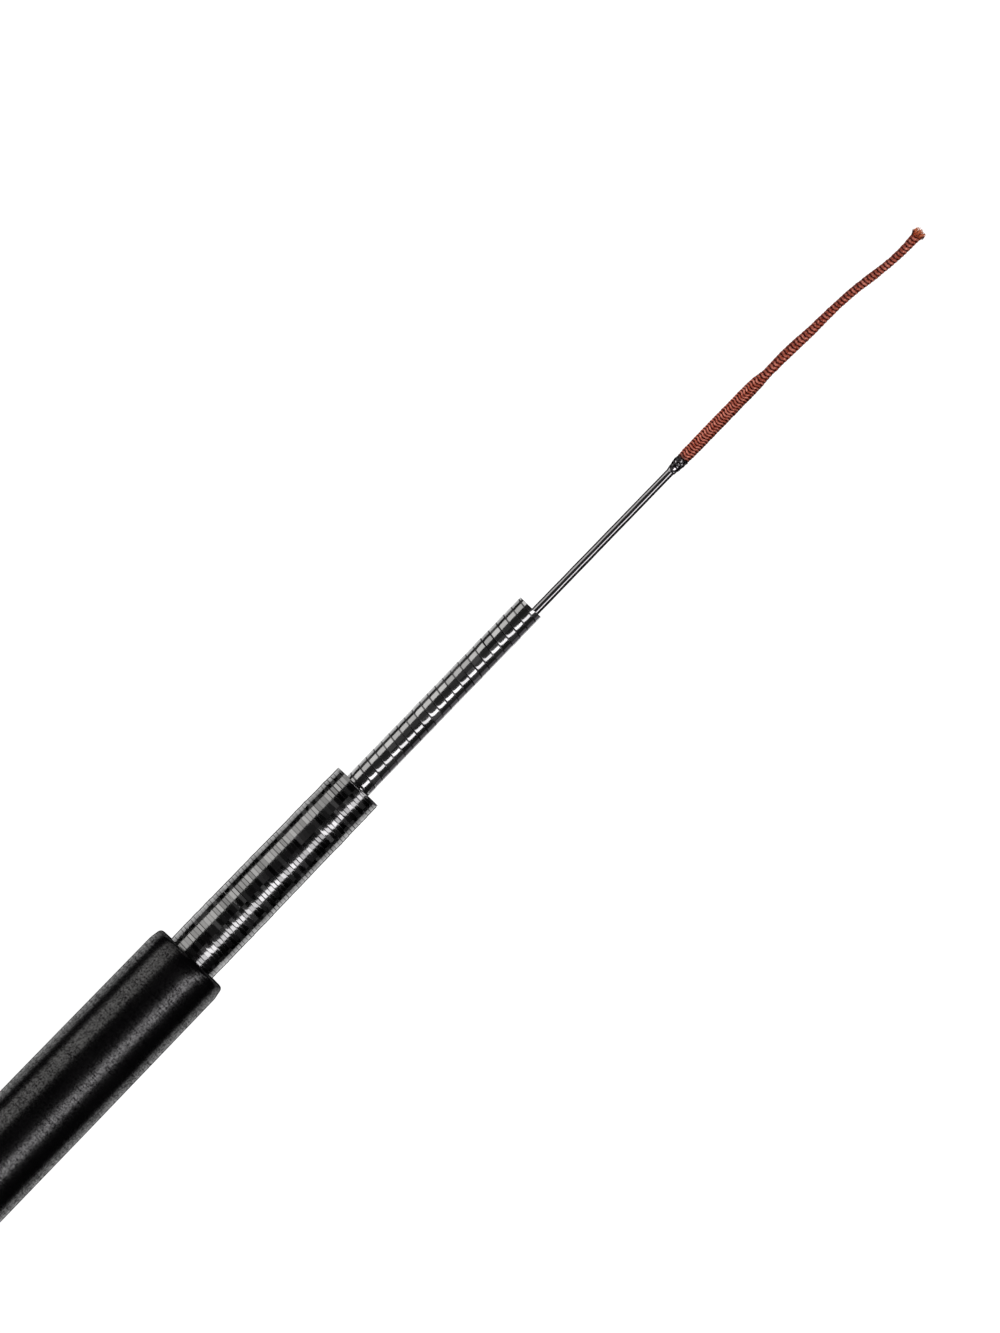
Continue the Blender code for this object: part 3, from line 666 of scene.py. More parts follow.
# Butt tube
# The outermost blank, rolled carbon under matte black paint, ground to a taper before it was
# painted, so that fine rings run round it. Its mouth is dressed to a soft round lip.
BUTT_SIDES = 128
BUTT_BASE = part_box("butt_tube")[0].x / MM
BUTT_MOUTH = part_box("butt_tube")[1].x / MM
BUTT_BASE_RADIUS = 6.8
BUTT_SHOULDER = (BUTT_MOUTH - 20.0, 4.555)
BUTT_MOUTH_RADIUS = 4.47
BUTT_LIP_LONG = 1.3
BUTT_LIP_DULL = 1.5
BUTT_LIP_DROP = 0.23
BUTT_LIP_EASED = 3.0
BUTT_LIP_ROUNDING = 0.5
BUTT_LIP_STEP = 0.1
BUTT_LIP_UNEVEN = 0.012
BUTT_MOUTH_BORE = 3.75
BUTT_JAM = (BUTT_MOUTH - 90.0, 3.849)
BUTT_BASE_BORE = 5.8
COLLAR_SOCKET = 14.3
LONG_STEP = 8.0
ARC_STEPS = 6
GUARD = 0.12
POLE_AXIS = np.array([[0.0, 0.0, 0.0], [1.0, 0.0, 0.0]])


def rounded(corners, loop=True):
    """Outline of (along, radius) rows through corners given as (along, radius, rounding, step). An
    arc that touches both sides takes the place of a rounded corner, and the straight stretch after a
    corner is cut into steps no longer than its own. Returns the rows, and one on arcs and nought
    elsewhere."""
    corners = np.array(corners, float)
    spots = corners[:, :2]
    backs = unit(np.roll(spots, 1, axis=0) - spots)
    ons = unit(np.roll(spots, -1, axis=0) - spots)
    arcs = []
    for spot, back, on, rounding in zip(spots, backs, ons, corners[:, 2]):
        opening = math.acos(float(np.clip(back @ on, -1.0, 1.0)))
        if rounding == 0.0:
            arcs.append(spot[None])
            continue
        middle = spot + unit(back + on) * rounding / math.sin(opening / 2)
        start = spot + back * rounding / math.tan(opening / 2) - middle
        end = spot + on * rounding / math.tan(opening / 2) - middle
        sweep = math.pi - opening
        share = np.linspace(0.0, 1.0, ARC_STEPS + 1)[:, None]
        swung = np.sin((1 - share) * sweep) * start + np.sin(share * sweep) * end
        arcs.append(middle + swung / math.sin(sweep))
    rows = []
    edges = []
    for place, (this, step) in enumerate(zip(arcs, corners[:, 3])):
        rows.append(this)
        edges.append(np.full(len(this), float(len(this) > 1)))
        if place == len(arcs) - 1 and not loop:
            break
        onward = arcs[(place + 1) % len(arcs)][0]
        length = float(np.linalg.norm(onward - this[-1]))
        cuts = np.linspace(0.0, 1.0, max(1, math.ceil(length / step)) + 1)[1:-1]
        if length > 4 * GUARD:
            cuts = np.unique(np.concatenate([cuts, [GUARD / length, 1.0 - GUARD / length]]))
        rows.append(this[-1] + cuts[:, None] * (onward - this[-1]))
        edges.append(np.zeros(len(cuts)))
    return np.concatenate(rows), np.concatenate(edges)


def turned(axis, rows, sides, raised=0.0):
    """Points of a surface turned about an axis: round each row of (along, radius) a circle of that
    radius, raised by an amount that may differ all over the surface."""
    turn = np.arange(sides) * math.tau / sides
    radius = rows[:, 1, None] + raised + 0 * turn
    points = np.repeat(on_axis(axis, rows[:, 0])[:, None], sides, axis=1)
    points[..., 1] += radius * np.cos(turn)
    points[..., 2] += radius * np.sin(turn)
    return points


def uneven(rows, sides, shortest, seed, waves=20):
    """Smooth unevenness of about one over a turned surface: the sum of cosines of random slant, each
    a whole number of times round, none shorter along than the given length."""
    random = np.random.default_rng(seed)
    lengths = shortest / random.uniform(0.12, 1.0, waves)
    rounds = random.integers(-3, 4, waves)
    starts = random.uniform(0.0, math.tau, waves)
    turn = (np.arange(sides) * math.tau / sides)[None, :, None]
    phase = rows[:, 0][:, None, None] * math.tau / lengths + turn * rounds + starts
    return np.cos(phase).sum(axis=-1) / math.sqrt(waves / 2)


def shared_effect(name, inputs, outputs):
    """A new shader node group with named number inputs and outputs. Returns it, the sockets that its
    inputs arrive on and the sockets that its outputs leave by."""
    group = bpy.data.node_groups.new(name, "ShaderNodeTree")
    for title, value in inputs.items():
        socket = group.interface.new_socket(
            name=title, in_out="INPUT", socket_type="NodeSocketFloat"
        )
        socket.default_value = value
    for title in outputs:
        group.interface.new_socket(name=title, in_out="OUTPUT", socket_type="NodeSocketFloat")
    return group, group.nodes.new("NodeGroupInput").outputs, group.nodes.new("NodeGroupOutput").inputs


def place_effect(tree, group, **inputs):
    """Places a shared effect in a material with its own values and returns its outputs."""
    made = tree.nodes.new("ShaderNodeGroup")
    made.node_tree = group
    for title, value in inputs.items():
        socket = made.inputs[title.replace("_", " ")]
        if isinstance(value, bpy.types.NodeSocket):
            tree.links.new(value, socket)
        else:
            socket.default_value = value
    return made.outputs


# Rings left by grinding or turning a piece on its axis: fine along it, drawn out round it.
turning_marks, given, taken = shared_effect(
    "turning marks", {"Rings": 4000.0, "Waver": 120.0}, ["Height", "Streak"]
)
marks = turning_marks
spot = add_node(marks, "ShaderNodeTexCoord").outputs["Object"]
spot_x, spot_y, spot_z = add_node(marks, "ShaderNodeSeparateXYZ", {0: spot}).outputs
fine_x = reckon(marks, "MULTIPLY", spot_x, given["Rings"])
fine_y = reckon(marks, "MULTIPLY", spot_y, given["Waver"])
fine_z = reckon(marks, "MULTIPLY", spot_z, given["Waver"])
fine = add_node(marks, "ShaderNodeCombineXYZ", {0: fine_x, 1: fine_y, 2: fine_z}).outputs[0]
rings = add_node(marks, "ShaderNodeTexNoise", {"Vector": fine, "Scale": 1.0, "Detail": 3.0})
marks.links.new(rings.outputs["Fac"], taken["Height"])
broad_x = reckon(marks, "MULTIPLY", fine_x, 0.22)
broad = add_node(marks, "ShaderNodeCombineXYZ", {0: broad_x, 1: fine_y, 2: fine_z}).outputs[0]
streak = add_node(marks, "ShaderNodeTexNoise", {"Vector": broad, "Scale": 1.0, "Detail": 1.0})
marks.links.new(streak.outputs["Fac"], taken["Streak"])

# Wear that breaks through along edges, and dust and finger marks in soft patches.
dust_and_wear, given, taken = shared_effect(
    "dust and wear", {"Edge": 0.0, "Wear": 0.5, "Dust": 0.5}, ["Worn", "Dusty"]
)
nicks = mottled(dust_and_wear, 2200.0, detail=4.0)
worn = reckon(dust_and_wear, "MULTIPLY_ADD", given["Edge"], 0.42, nicks)
spared = reckon(dust_and_wear, "MULTIPLY_ADD", given["Wear"], -0.35, 1.15)
worn = reckon(dust_and_wear, "SUBTRACT", worn, spared)
dust_and_wear.links.new(eased(dust_and_wear, worn, -0.03, 0.06), taken["Worn"])
patches = eased(dust_and_wear, mottled(dust_and_wear, 160.0, detail=5.0), 0.45, 0.75)
specks = eased(dust_and_wear, mottled(dust_and_wear, 5200.0, detail=1.0), 0.62, 0.78)
dusty = reckon(dust_and_wear, "MULTIPLY_ADD", specks, 0.6, patches)
dusty = reckon(dust_and_wear, "MULTIPLY", dusty, given["Dust"])
dust_and_wear.links.new(dusty, taken["Dusty"])

butt_rows, butt_edge = rounded(
    [
        (BUTT_BASE, BUTT_BASE_RADIUS, 0.1, LONG_STEP),
        (*BUTT_SHOULDER, 0.0, 2.0),
        (BUTT_MOUTH - BUTT_LIP_LONG, BUTT_MOUTH_RADIUS, BUTT_LIP_EASED, BUTT_LIP_STEP),
        (BUTT_MOUTH, BUTT_MOUTH_RADIUS - BUTT_LIP_DROP, BUTT_LIP_ROUNDING, BUTT_LIP_STEP),
        (BUTT_MOUTH, BUTT_MOUTH_BORE, 0.06, 2.0),
        (*BUTT_JAM, 0.0, 40.0),
        (BUTT_BASE + COLLAR_SOCKET, BUTT_BASE_BORE - 0.02, 0.0, 4.0),
        (BUTT_BASE, BUTT_BASE_BORE, 0.1, 4.0),
    ]
)
lip = np.clip((butt_rows[:, :1] - (BUTT_MOUTH - BUTT_LIP_DULL)) / BUTT_LIP_DULL, 0.0, 1.0)
butt_raised = BUTT_LIP_UNEVEN * lip * uneven(butt_rows, BUTT_SIDES, shortest=1.5, seed=3)
butt_blank = grid_skin(
    "butt_blank",
    turned(POLE_AXIS, butt_rows, BUTT_SIDES, butt_raised),
    butt_rows[:, 0],
    loop=True,
    edge=butt_edge[:, None],
    lip=lip,
)
MATTE_BLACK = (0.0010, 0.0009, 0.0011, 1.0)
MATTE_DUST = (0.020, 0.019, 0.019, 1.0)
matte, tree, shader = new_material(
    "matte black paint", Specular_IOR_Level=0.0, Roughness=0.5, Coat_Roughness=0.22, Coat_IOR=1.5
)
ground = place_effect(tree, turning_marks, Rings=5200.0, Waver=160.0)
soiled = place_effect(tree, dust_and_wear, Edge=stored(tree, "edge"), Wear=0.1, Dust=0.35)
grain = mottled(tree, 4600.0, detail=2.0)
height = reckon(tree, "MULTIPLY_ADD", grain, 0.25, ground["Height"])
flatted = reckon(tree, "MULTIPLY_ADD", eased(tree, grain, 0.32, 0.68), 0.85, 0.08)
flatted = reckon(tree, "MULTIPLY_ADD", eased(tree, ground["Height"], 0.36, 0.64), 0.35, flatted)
rubbed = eased(tree, stored(tree, "lip"), 0.0, 1.0, 1.0, 0.3)
powder = reckon(tree, "MULTIPLY", soiled["Dusty"], 0.25)
feed(
    tree,
    shader,
    Base_Color=blended(tree, powder, MATTE_BLACK, MATTE_DUST),
    Coat_Weight=reckon(tree, "MULTIPLY", flatted, rubbed),
    Normal=relief(tree, height, 0.000020),
)
butt_blank.data.materials.append(matte)
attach(butt_blank, "butt")
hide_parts("butt_tube")

# Grip sleeve
# Heat-shrink rubber drawn over the last third of the butt. It has shrunk on to the taper,
# and its surface is moulded in raised diamonds that run round in two crossing sets of grooves.
GRIP_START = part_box("grip_sleeve")[0].x / MM
GRIP_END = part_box("grip_sleeve")[1].x / MM
GRIP_THICK = 0.6
GRIP_UNDER = 0.05
GRIP_ROUNDING = 0.2
GRIP_SIDES = 112
GRIP_STEP = 0.56
DIAMONDS_ROUND = 16
DIAMOND_LONG = 5.0
DIAMOND_HIGH = 0.17
PLAIN_ENDS = 2.5


def butt_radius(along):
    """Outside of the butt at a place along it: straight from its base to its shoulder."""
    return np.interp(along, [BUTT_BASE, BUTT_SHOULDER[0]], [BUTT_BASE_RADIUS, BUTT_SHOULDER[1]])


def diamonds(rows, sides):
    """Height from 0 to 1 of a lattice of raised diamonds: the lesser of two sets of ridges that
    cross, each a cosine of the turn and the place along, flattened at its top."""
    turn = (np.arange(sides) * math.tau / sides)[None] * DIAMONDS_ROUND
    along = rows[:, :1] * math.tau / DIAMOND_LONG
    crossing = np.minimum(np.cos(turn + along), np.cos(turn - along))
    return np.clip(0.5 + 0.9 * (crossing + 0.45), 0.0, 1.0)


grip_rows, grip_edge = rounded(
    [
        (GRIP_START, butt_radius(GRIP_START) + GRIP_THICK, GRIP_ROUNDING, GRIP_STEP),
        (GRIP_END, butt_radius(GRIP_END) + GRIP_THICK, GRIP_ROUNDING, 1.0),
        (GRIP_END, butt_radius(GRIP_END) + GRIP_UNDER, 0.0, 20.0),
        (GRIP_START, butt_radius(GRIP_START) + GRIP_UNDER, 0.0, 1.0),
    ]
)
outside = grip_rows[:, 1] > butt_radius(grip_rows[:, 0]) + 0.5 * GRIP_THICK
from_ends = np.minimum(grip_rows[:, 0] - GRIP_START, GRIP_END - grip_rows[:, 0])
moulded = (outside * np.clip(from_ends - PLAIN_ENDS, 0.0, 1.0))[:, None]
grip_raised = moulded * DIAMOND_HIGH * (diamonds(grip_rows, GRIP_SIDES) - 1.0)
grip_skin = grid_skin(
    "grip_rubber_skin",
    turned(POLE_AXIS, grip_rows, GRIP_SIDES, grip_raised),
    grip_rows[:, 0],
    loop=True,
    edge=grip_edge[:, None],
    hollow=-grip_raised / DIAMOND_HIGH,
)
RUBBER_BLACK = (0.016, 0.016, 0.017, 1.0)
RUBBER_DUST = (0.075, 0.070, 0.064, 1.0)
rubber, tree, shader = new_material("grip rubber", Specular_IOR_Level=0.3)
soiled = place_effect(tree, dust_and_wear, Edge=stored(tree, "edge"), Wear=0.2, Dust=0.5)
in_grooves = reckon(tree, "MULTIPLY", stored(tree, "hollow"), 0.35)
dusty = reckon(tree, "MULTIPLY_ADD", soiled["Dusty"], 0.3, in_grooves)
feed(
    tree,
    shader,
    Base_Color=blended(tree, dusty, RUBBER_BLACK, RUBBER_DUST),
    Roughness=reckon(tree, "MULTIPLY_ADD", dusty, 0.25, 0.62),
    Normal=relief(tree, mottled(tree, 9000.0, detail=3.0), 0.000015),
)
grip_skin.data.materials.append(rubber)
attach(grip_skin, "butt")
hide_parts("grip_sleeve")

# Grip ring
# A trim ring of satin grey anodised alloy, turned with a slope down to the blank and two fine
# grooves, and glued against the end of the grip.
RING_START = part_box("grip_ring")[0].x / MM
RING_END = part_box("grip_ring")[1].x / MM
RING_THICK = 0.75
RING_SLOPE = 2.0
RING_SIDES = 128
RING_GROOVES = (1.4, 2.6)
RING_GROOVE_WIDE = 0.16
RING_GROOVE_DEEP = 0.12
ring_shoulder = RING_END - RING_SLOPE
ring_rows, ring_edge = rounded(
    [
        (RING_START, butt_radius(RING_START) + RING_THICK, 0.2, 0.04),
        (ring_shoulder, butt_radius(ring_shoulder) + RING_THICK, 0.3, 0.1),
        (RING_END, butt_radius(RING_END) + RING_THICK / 2, 0.1, 0.5),
        (RING_END, butt_radius(RING_END) + GRIP_UNDER, 0.0, 3.0),
        (RING_START, butt_radius(RING_START) + GRIP_UNDER, 0.0, 0.5),
    ]
)
outside = ring_rows[:, 1] > butt_radius(ring_rows[:, 0]) + 0.3
ring_cut = sum(
    np.exp(-(((ring_rows[:, 0] - RING_START - place) / RING_GROOVE_WIDE) ** 4))
    for place in RING_GROOVES
)
ring_raised = (-RING_GROOVE_DEEP * ring_cut * outside)[:, None]
trim_ring = grid_skin(
    "trim_ring",
    turned(POLE_AXIS, ring_rows, RING_SIDES, ring_raised),
    ring_rows[:, 0],
    loop=True,
    edge=ring_edge[:, None],
)
SATIN_GREY = (0.25, 0.25, 0.265, 1.0)
BARE_ALLOY = (0.74, 0.74, 0.76, 1.0)
satin, tree, shader = new_material("satin grey anodised", Metallic=1.0)
lathe = place_effect(tree, turning_marks, Rings=9000.0, Waver=60.0)
soiled = place_effect(tree, dust_and_wear, Edge=stored(tree, "edge"), Wear=0.8, Dust=0.3)
feed(
    tree,
    shader,
    Base_Color=blended(tree, soiled["Worn"], SATIN_GREY, BARE_ALLOY),
    Roughness=reckon(tree, "MULTIPLY_ADD", soiled["Dusty"], 0.2, 0.3),
    Normal=relief(tree, lathe["Height"], 0.000004),
)
trim_ring.data.materials.append(satin)
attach(trim_ring, "butt")
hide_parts("grip_ring")

# Butt collar
# Turned bright alloy, bonded into the butt's base against its flange. Its bore is wide enough for the
# sections to come out for drying, and holds the thread that the cap screws into.
COLLAR_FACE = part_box("butt_collar")[0].x / MM
COLLAR_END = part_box("butt_collar")[1].x / MM
COLLAR_SHOULDER = COLLAR_FACE + 1.5
COLLAR_FLANGE_RADIUS = 6.9
COLLAR_RADIUS = 5.75
COLLAR_BORE = 4.5
COLLAR_SIDES = 96
COLLAR_THREAD_HIGH = 0.42
COLLAR_THREAD_ROOT = 0.08
THREAD_PITCH = 1.5
THREAD_STEP = 0.06
THREAD_MARGIN = 0.4
THREAD_RUN_OUT = 0.8


def thread(rows, sides, pitch, start, end):
    """Height from 0 to 1 of a right-hand thread: flat crests and roots joined by sloping flanks, by
    the cosine of the place along less a pitch for each turn. Returns it with the share by which it
    fades in and out at its ends."""
    turn = np.arange(sides)[None] / sides
    phase = (rows[:, :1] / pitch - turn) * math.tau
    crest = np.clip(0.5 + 1.1 * np.cos(phase), 0.0, 1.0)
    inside = np.minimum(rows[:, :1] - start, end - rows[:, :1]) / THREAD_RUN_OUT
    return crest, np.clip(inside, 0.0, 1.0)


collar_rows, collar_edge = rounded(
    [
        (COLLAR_FACE, COLLAR_FLANGE_RADIUS, 0.15, 0.5),
        (COLLAR_SHOULDER, COLLAR_FLANGE_RADIUS, 0.1, 0.5),
        (COLLAR_SHOULDER, COLLAR_RADIUS, 0.0, 2.0),
        (COLLAR_END, COLLAR_RADIUS, 0.3, 0.5),
        (COLLAR_END, COLLAR_BORE, 0.35, THREAD_STEP),
        (COLLAR_FACE, COLLAR_BORE, 0.35, 0.3),
    ]
)
inside = collar_rows[:, 1] < COLLAR_BORE + 0.01
collar_cut, collar_fade = thread(
    collar_rows,
    COLLAR_SIDES,
    THREAD_PITCH,
    COLLAR_FACE + THREAD_MARGIN,
    COLLAR_END - THREAD_MARGIN,
)
collar_raised = COLLAR_THREAD_HIGH * collar_cut - COLLAR_THREAD_ROOT
collar_raised = collar_raised * inside[:, None] * collar_fade
collar = grid_skin(
    "threaded_collar",
    turned(POLE_AXIS, collar_rows, COLLAR_SIDES, collar_raised),
    collar_rows[:, 0],
    loop=True,
    edge=collar_edge[:, None],
)
TURNED_BRIGHT = (0.60, 0.60, 0.62, 1.0)
TURNED_DULL = (0.42, 0.41, 0.39, 1.0)
bright, tree, shader = new_material("bright turned alloy", Metallic=1.0)
lathe = place_effect(tree, turning_marks, Rings=6000.0, Waver=30.0)
soiled = place_effect(tree, dust_and_wear, Edge=stored(tree, "edge"), Wear=0.5, Dust=0.6)
tarnish = blended(tree, soiled["Dusty"], TURNED_BRIGHT, TURNED_DULL)
feed(
    tree,
    shader,
    Base_Color=blended(tree, soiled["Worn"], tarnish, BARE_ALLOY),
    Roughness=reckon(tree, "MULTIPLY_ADD", lathe["Streak"], 0.2, 0.18),
    Normal=relief(tree, lathe["Height"], 0.000006),
)
collar.data.materials.append(bright)
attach(collar, "butt")
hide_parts("butt_collar")

# Screw cap
# Turned alloy, anodised black, with thirty knurled flutes for the fingers and a threaded spigot. The
# edges have worn to bare metal where the pole is stood on its butt.
CAP_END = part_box("butt_cap")[1].x / MM
CAP_HEAD = 7.0
CAP_RADIUS = 7.6
CAP_CHAMFER = 0.6
CAP_HUB = 0.4
CAP_SPIGOT = 4.35
CAP_GROOVE_FLOOR = 6.1
CAP_GROOVE_RADIUS = 5.55
CAP_RECESS_RADIUS = 3.85
CAP_RECESS_DEEP = 2.0
CAP_THREAD_HIGH = 0.40
CAP_THREAD_ROOT = 0.12
CAP_THREAD_MARGIN = 0.6
FLUTES = 30
FLUTE_HALF_WIDE = 0.32
FLUTE_DEEP = 0.25
FLUTE_MARGIN = 1.2
FLUTE_RUN_OUT = 0.45
CAP_SIDES = 240
cap_rows, cap_edge = rounded(
    [
        (0.0, CAP_HUB, 0.0, 0.6),
        (0.0, CAP_RADIUS - CAP_CHAMFER, 0.12, 0.1),
        (CAP_CHAMFER, CAP_RADIUS, 0.15, 0.12),
        (CAP_HEAD, CAP_RADIUS, 0.2, 0.4),
        (CAP_HEAD, CAP_GROOVE_RADIUS, 0.1, 0.3),
        (CAP_GROOVE_FLOOR, CAP_GROOVE_RADIUS, 0.08, 0.3),
        (CAP_GROOVE_FLOOR, CAP_SPIGOT, 0.08, THREAD_STEP),
        (CAP_END, CAP_SPIGOT, 0.2, 0.2),
        (CAP_END, CAP_RECESS_RADIUS, 0.1, 0.3),
        (CAP_END - CAP_RECESS_DEEP, CAP_RECESS_RADIUS, 0.1, 0.4),
        (CAP_END - CAP_RECESS_DEEP, CAP_HUB, 0.0, 1.0),
    ],
    loop=False,
)
# A flute is scooped across its width, its depth one less the square of the place in it, all to the
# power 0.8, and runs out at its ends by a square root.
cap_turn = np.arange(CAP_SIDES)[None] / CAP_SIDES * FLUTES
in_flute = np.abs(cap_turn % 1.0 - 0.5) / FLUTE_HALF_WIDE
flute = np.clip(1.0 - in_flute**2, 0.0, 1.0) ** 0.8
from_ends = np.minimum(cap_rows[:, 0] - FLUTE_MARGIN, CAP_HEAD - FLUTE_MARGIN - cap_rows[:, 0])
flute_long = np.sqrt(np.clip(from_ends / FLUTE_RUN_OUT, 0.0, 1.0))
flute_long = flute_long * (cap_rows[:, 1] > CAP_RADIUS - 0.01)
spigot = (np.abs(cap_rows[:, 1] - CAP_SPIGOT) < 0.01) & (cap_rows[:, 0] > COLLAR_FACE)
cap_thread, cap_fade = thread(
    cap_rows,
    CAP_SIDES,
    THREAD_PITCH,
    COLLAR_FACE + CAP_THREAD_MARGIN,
    CAP_END - THREAD_MARGIN,
)
cap_thread = (CAP_THREAD_HIGH * cap_thread - CAP_THREAD_ROOT) * spigot[:, None] * cap_fade
cap_raised = cap_thread - FLUTE_DEEP * flute * flute_long[:, None]
screw_cap = grid_skin(
    "screw_cap",
    turned(POLE_AXIS, cap_rows, CAP_SIDES, cap_raised),
    cap_rows[:, 0],
    edge=cap_edge[:, None],
)
ANODISED = (0.016, 0.016, 0.018, 1.0)
ANODISED_DUST = (0.11, 0.10, 0.09, 1.0)
anodised, tree, shader = new_material("black anodised alloy", Metallic=1.0)
lathe = place_effect(tree, turning_marks, Rings=7000.0, Waver=900.0)
soiled = place_effect(tree, dust_and_wear, Edge=stored(tree, "edge"), Wear=0.75, Dust=0.6)
powder = reckon(tree, "MULTIPLY", soiled["Dusty"], 0.3)
powder = blended(tree, powder, ANODISED, ANODISED_DUST)
feed(
    tree,
    shader,
    Base_Color=blended(tree, soiled["Worn"], powder, BARE_ALLOY),
    Roughness=reckon(tree, "MULTIPLY_ADD", lathe["Streak"], 0.2, 0.25),
    Normal=relief(tree, lathe["Height"], 0.000005),
)
screw_cap.data.materials.append(anodised)
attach(screw_cap, "cap")
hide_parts("butt_cap")

# Cap seal
# A moulded rubber O-ring that sits in the groove behind the cap's head and keeps water out. A thin
# line of flash from its mould runs round its outside and inside.
SEAL_MIDDLE = 6.7
SEAL_RING_RADIUS = 4.95
SEAL_CORD_RADIUS = 0.5
SEAL_SIDES = 96
SEAL_ROUND = 40
FLASH_HIGH = 0.02
FLASH_WIDE = 0.09
section_turn = np.arange(SEAL_ROUND) * math.tau / SEAL_ROUND
flash = FLASH_HIGH * np.exp(-((np.cos(section_turn) / FLASH_WIDE) ** 2))
seal_rows = np.stack(
    [
        SEAL_MIDDLE - (SEAL_CORD_RADIUS + flash) * np.cos(section_turn),
        SEAL_RING_RADIUS + (SEAL_CORD_RADIUS + flash) * np.sin(section_turn),
    ],
    -1,
)
seal_ring = grid_skin(
    "seal_ring", turned(POLE_AXIS, seal_rows, SEAL_SIDES), seal_rows[:, 0], loop=True
)
moulded_rubber, tree, shader = new_material("moulded rubber", Specular_IOR_Level=0.4)
soiled = place_effect(tree, dust_and_wear, Edge=0.0, Wear=0.0, Dust=0.8)
powder = reckon(tree, "MULTIPLY", soiled["Dusty"], 0.3)
feed(
    tree,
    shader,
    Base_Color=blended(tree, powder, RUBBER_BLACK, RUBBER_DUST),
    Roughness=reckon(tree, "MULTIPLY_ADD", soiled["Dusty"], 0.25, 0.42),
    Normal=relief(tree, mottled(tree, 6000.0, detail=3.0), 0.000008),
)
seal_ring.data.materials.append(moulded_rubber)
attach(seal_ring, "cap_seal")
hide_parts("cap_oring")

# Cushion
# A soft rubber plug glued in the recess of the cap's spigot, that the bases of the closed sections
# rest on so that they don't rattle. Rings are moulded in its face.
CUSHION_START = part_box("cap_cushion")[0].x / MM
CUSHION_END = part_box("cap_cushion")[1].x / MM
CUSHION_RADIUS = 3.8
CUSHION_HUB = 0.3
CUSHION_ROUNDING = 0.4
CUSHION_RING_PITCH = 1.1
CUSHION_RING_DEEP = 0.12
CUSHION_SIDES = 72
cushion_rows, _ = rounded(
    [
        (CUSHION_START, CUSHION_HUB, 0.0, 1.0),
        (CUSHION_START, CUSHION_RADIUS, 0.0, 0.5),
        (CUSHION_END, CUSHION_RADIUS, CUSHION_ROUNDING, 0.08),
        (CUSHION_END, CUSHION_HUB, 0.0, 1.0),
    ],
    loop=False,
)
on_face = cushion_rows[:, 0] > CUSHION_END - 0.01
cushion_rings = 0.5 - 0.5 * np.cos(cushion_rows[:, 1] * math.tau / CUSHION_RING_PITCH)
cushion_rows[:, 0] -= on_face * CUSHION_RING_DEEP * cushion_rings
cushion = grid_skin(
    "cushion_pad",
    turned(POLE_AXIS, cushion_rows, CUSHION_SIDES),
    cushion_rows[:, 0],
)
cushion.data.materials.append(moulded_rubber)
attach(cushion, "cap")
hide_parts("cap_cushion")

# Section three
# The larger inner blank: carbon cloth rolled on a mandrel, bound with a narrow shrinking tape while
# it cured, and lacquered over the rings that the tape left. Every second ring is the stronger one.
THREE_SIDES = 96
THREE_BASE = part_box("section_three")[0].x / MM
THREE_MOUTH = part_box("section_three")[1].x / MM
THREE_MOUTH_RADIUS = 2.75
THREE_OUTSIDE = THREE_MOUTH_RADIUS - 0.2
THREE_SHOULDER = (THREE_MOUTH - 17.0, 2.855)
THREE_WEDGE = (THREE_BASE + 90.0, 3.65)
THREE_BASE_RADIUS = 3.749
THREE_MOUTH_BORE = 2.3
THREE_INNER_JAM = (THREE_MOUTH - 80.0, 2.388)
THREE_BASE_BORE = 3.329
THREE_PITCH = 0.91
THREE_RING_AT = (THREE_MOUTH - 0.42, 0.31)
THREE_RING_HIGH = 0.013
THREE_RING_LEVEL = 1.0
THREE_HALF_SHARE = 0.5
THREE_SHOULDER_LONG = 0.10
THREE_SPREAD = 0.7
THREE_RIDGED = 27.0
THREE_RIDGE_STEP = 0.04
RIDGE_FADE = 3.0
RIDGES_VARY = 0.25
TAPE_CHANCES = 4096
LAPS_ROUND = 4.0


def tape_ridges(rows, sides, pitch, ring_at, shoulder, spread, seed):
    """Height of about 0 to 1 of the resin between the grooves that the edges of a tape leave, which
    run back towards the butt as they go round from +Y over the top. From each groove it rises towards
    the tip as one less an exponential. Its height differs by a spread along the tape, that is with
    the number of its turn less the share of a turn. A groove lies at the place and the turn in
    ring_at."""
    turn = np.arange(sides)[None] / sides
    count = (rows[:, :1] - ring_at[0]) / pitch + turn - ring_at[1]
    phase = count % 1.0
    random = np.random.default_rng(seed)
    strength = 1.0 + spread * (3.0 * random.uniform(0.0, 1.0, TAPE_CHANCES) ** 3 - 1.0)
    strip = (np.floor(count) - turn) * 2.0
    each = np.interp(strip, np.arange(TAPE_CHANCES), strength, period=TAPE_CHANCES)
    return each * (1.0 - np.exp(-phase * pitch / shoulder))


def carbon_rows(base, base_radius, wedge, shoulder, mouth, mouth_radius, bores, ridged, step):
    """Outline of a carbon tube: its outside from the base over its wedge and shoulder to the mouth,
    with short steps where it is ridged, and its bore back to the base."""
    slope = (shoulder[1] - mouth_radius) / (mouth - shoulder[0])
    rise = (wedge[1] - shoulder[1]) / (shoulder[0] - wedge[0])
    start = mouth - ridged
    start_radius = shoulder[1] + (shoulder[0] - start) * rise
    if start > shoulder[0]:
        start_radius = mouth_radius + ridged * slope
    stations = sorted([wedge, shoulder, (start, start_radius)])
    stations = [(x, r, 0.0, step if x >= start else LONG_STEP) for x, r in stations]
    return rounded(
        [
            (base, base_radius, 0.12, 4.0),
            *stations,
            (mouth, mouth_radius, 0.05, 0.1),
            (mouth, bores[0], 0.04, 2.0),
            (*bores[1], 0.0, 40.0),
            (base, bores[2], 0.05, 0.2),
        ]
    )


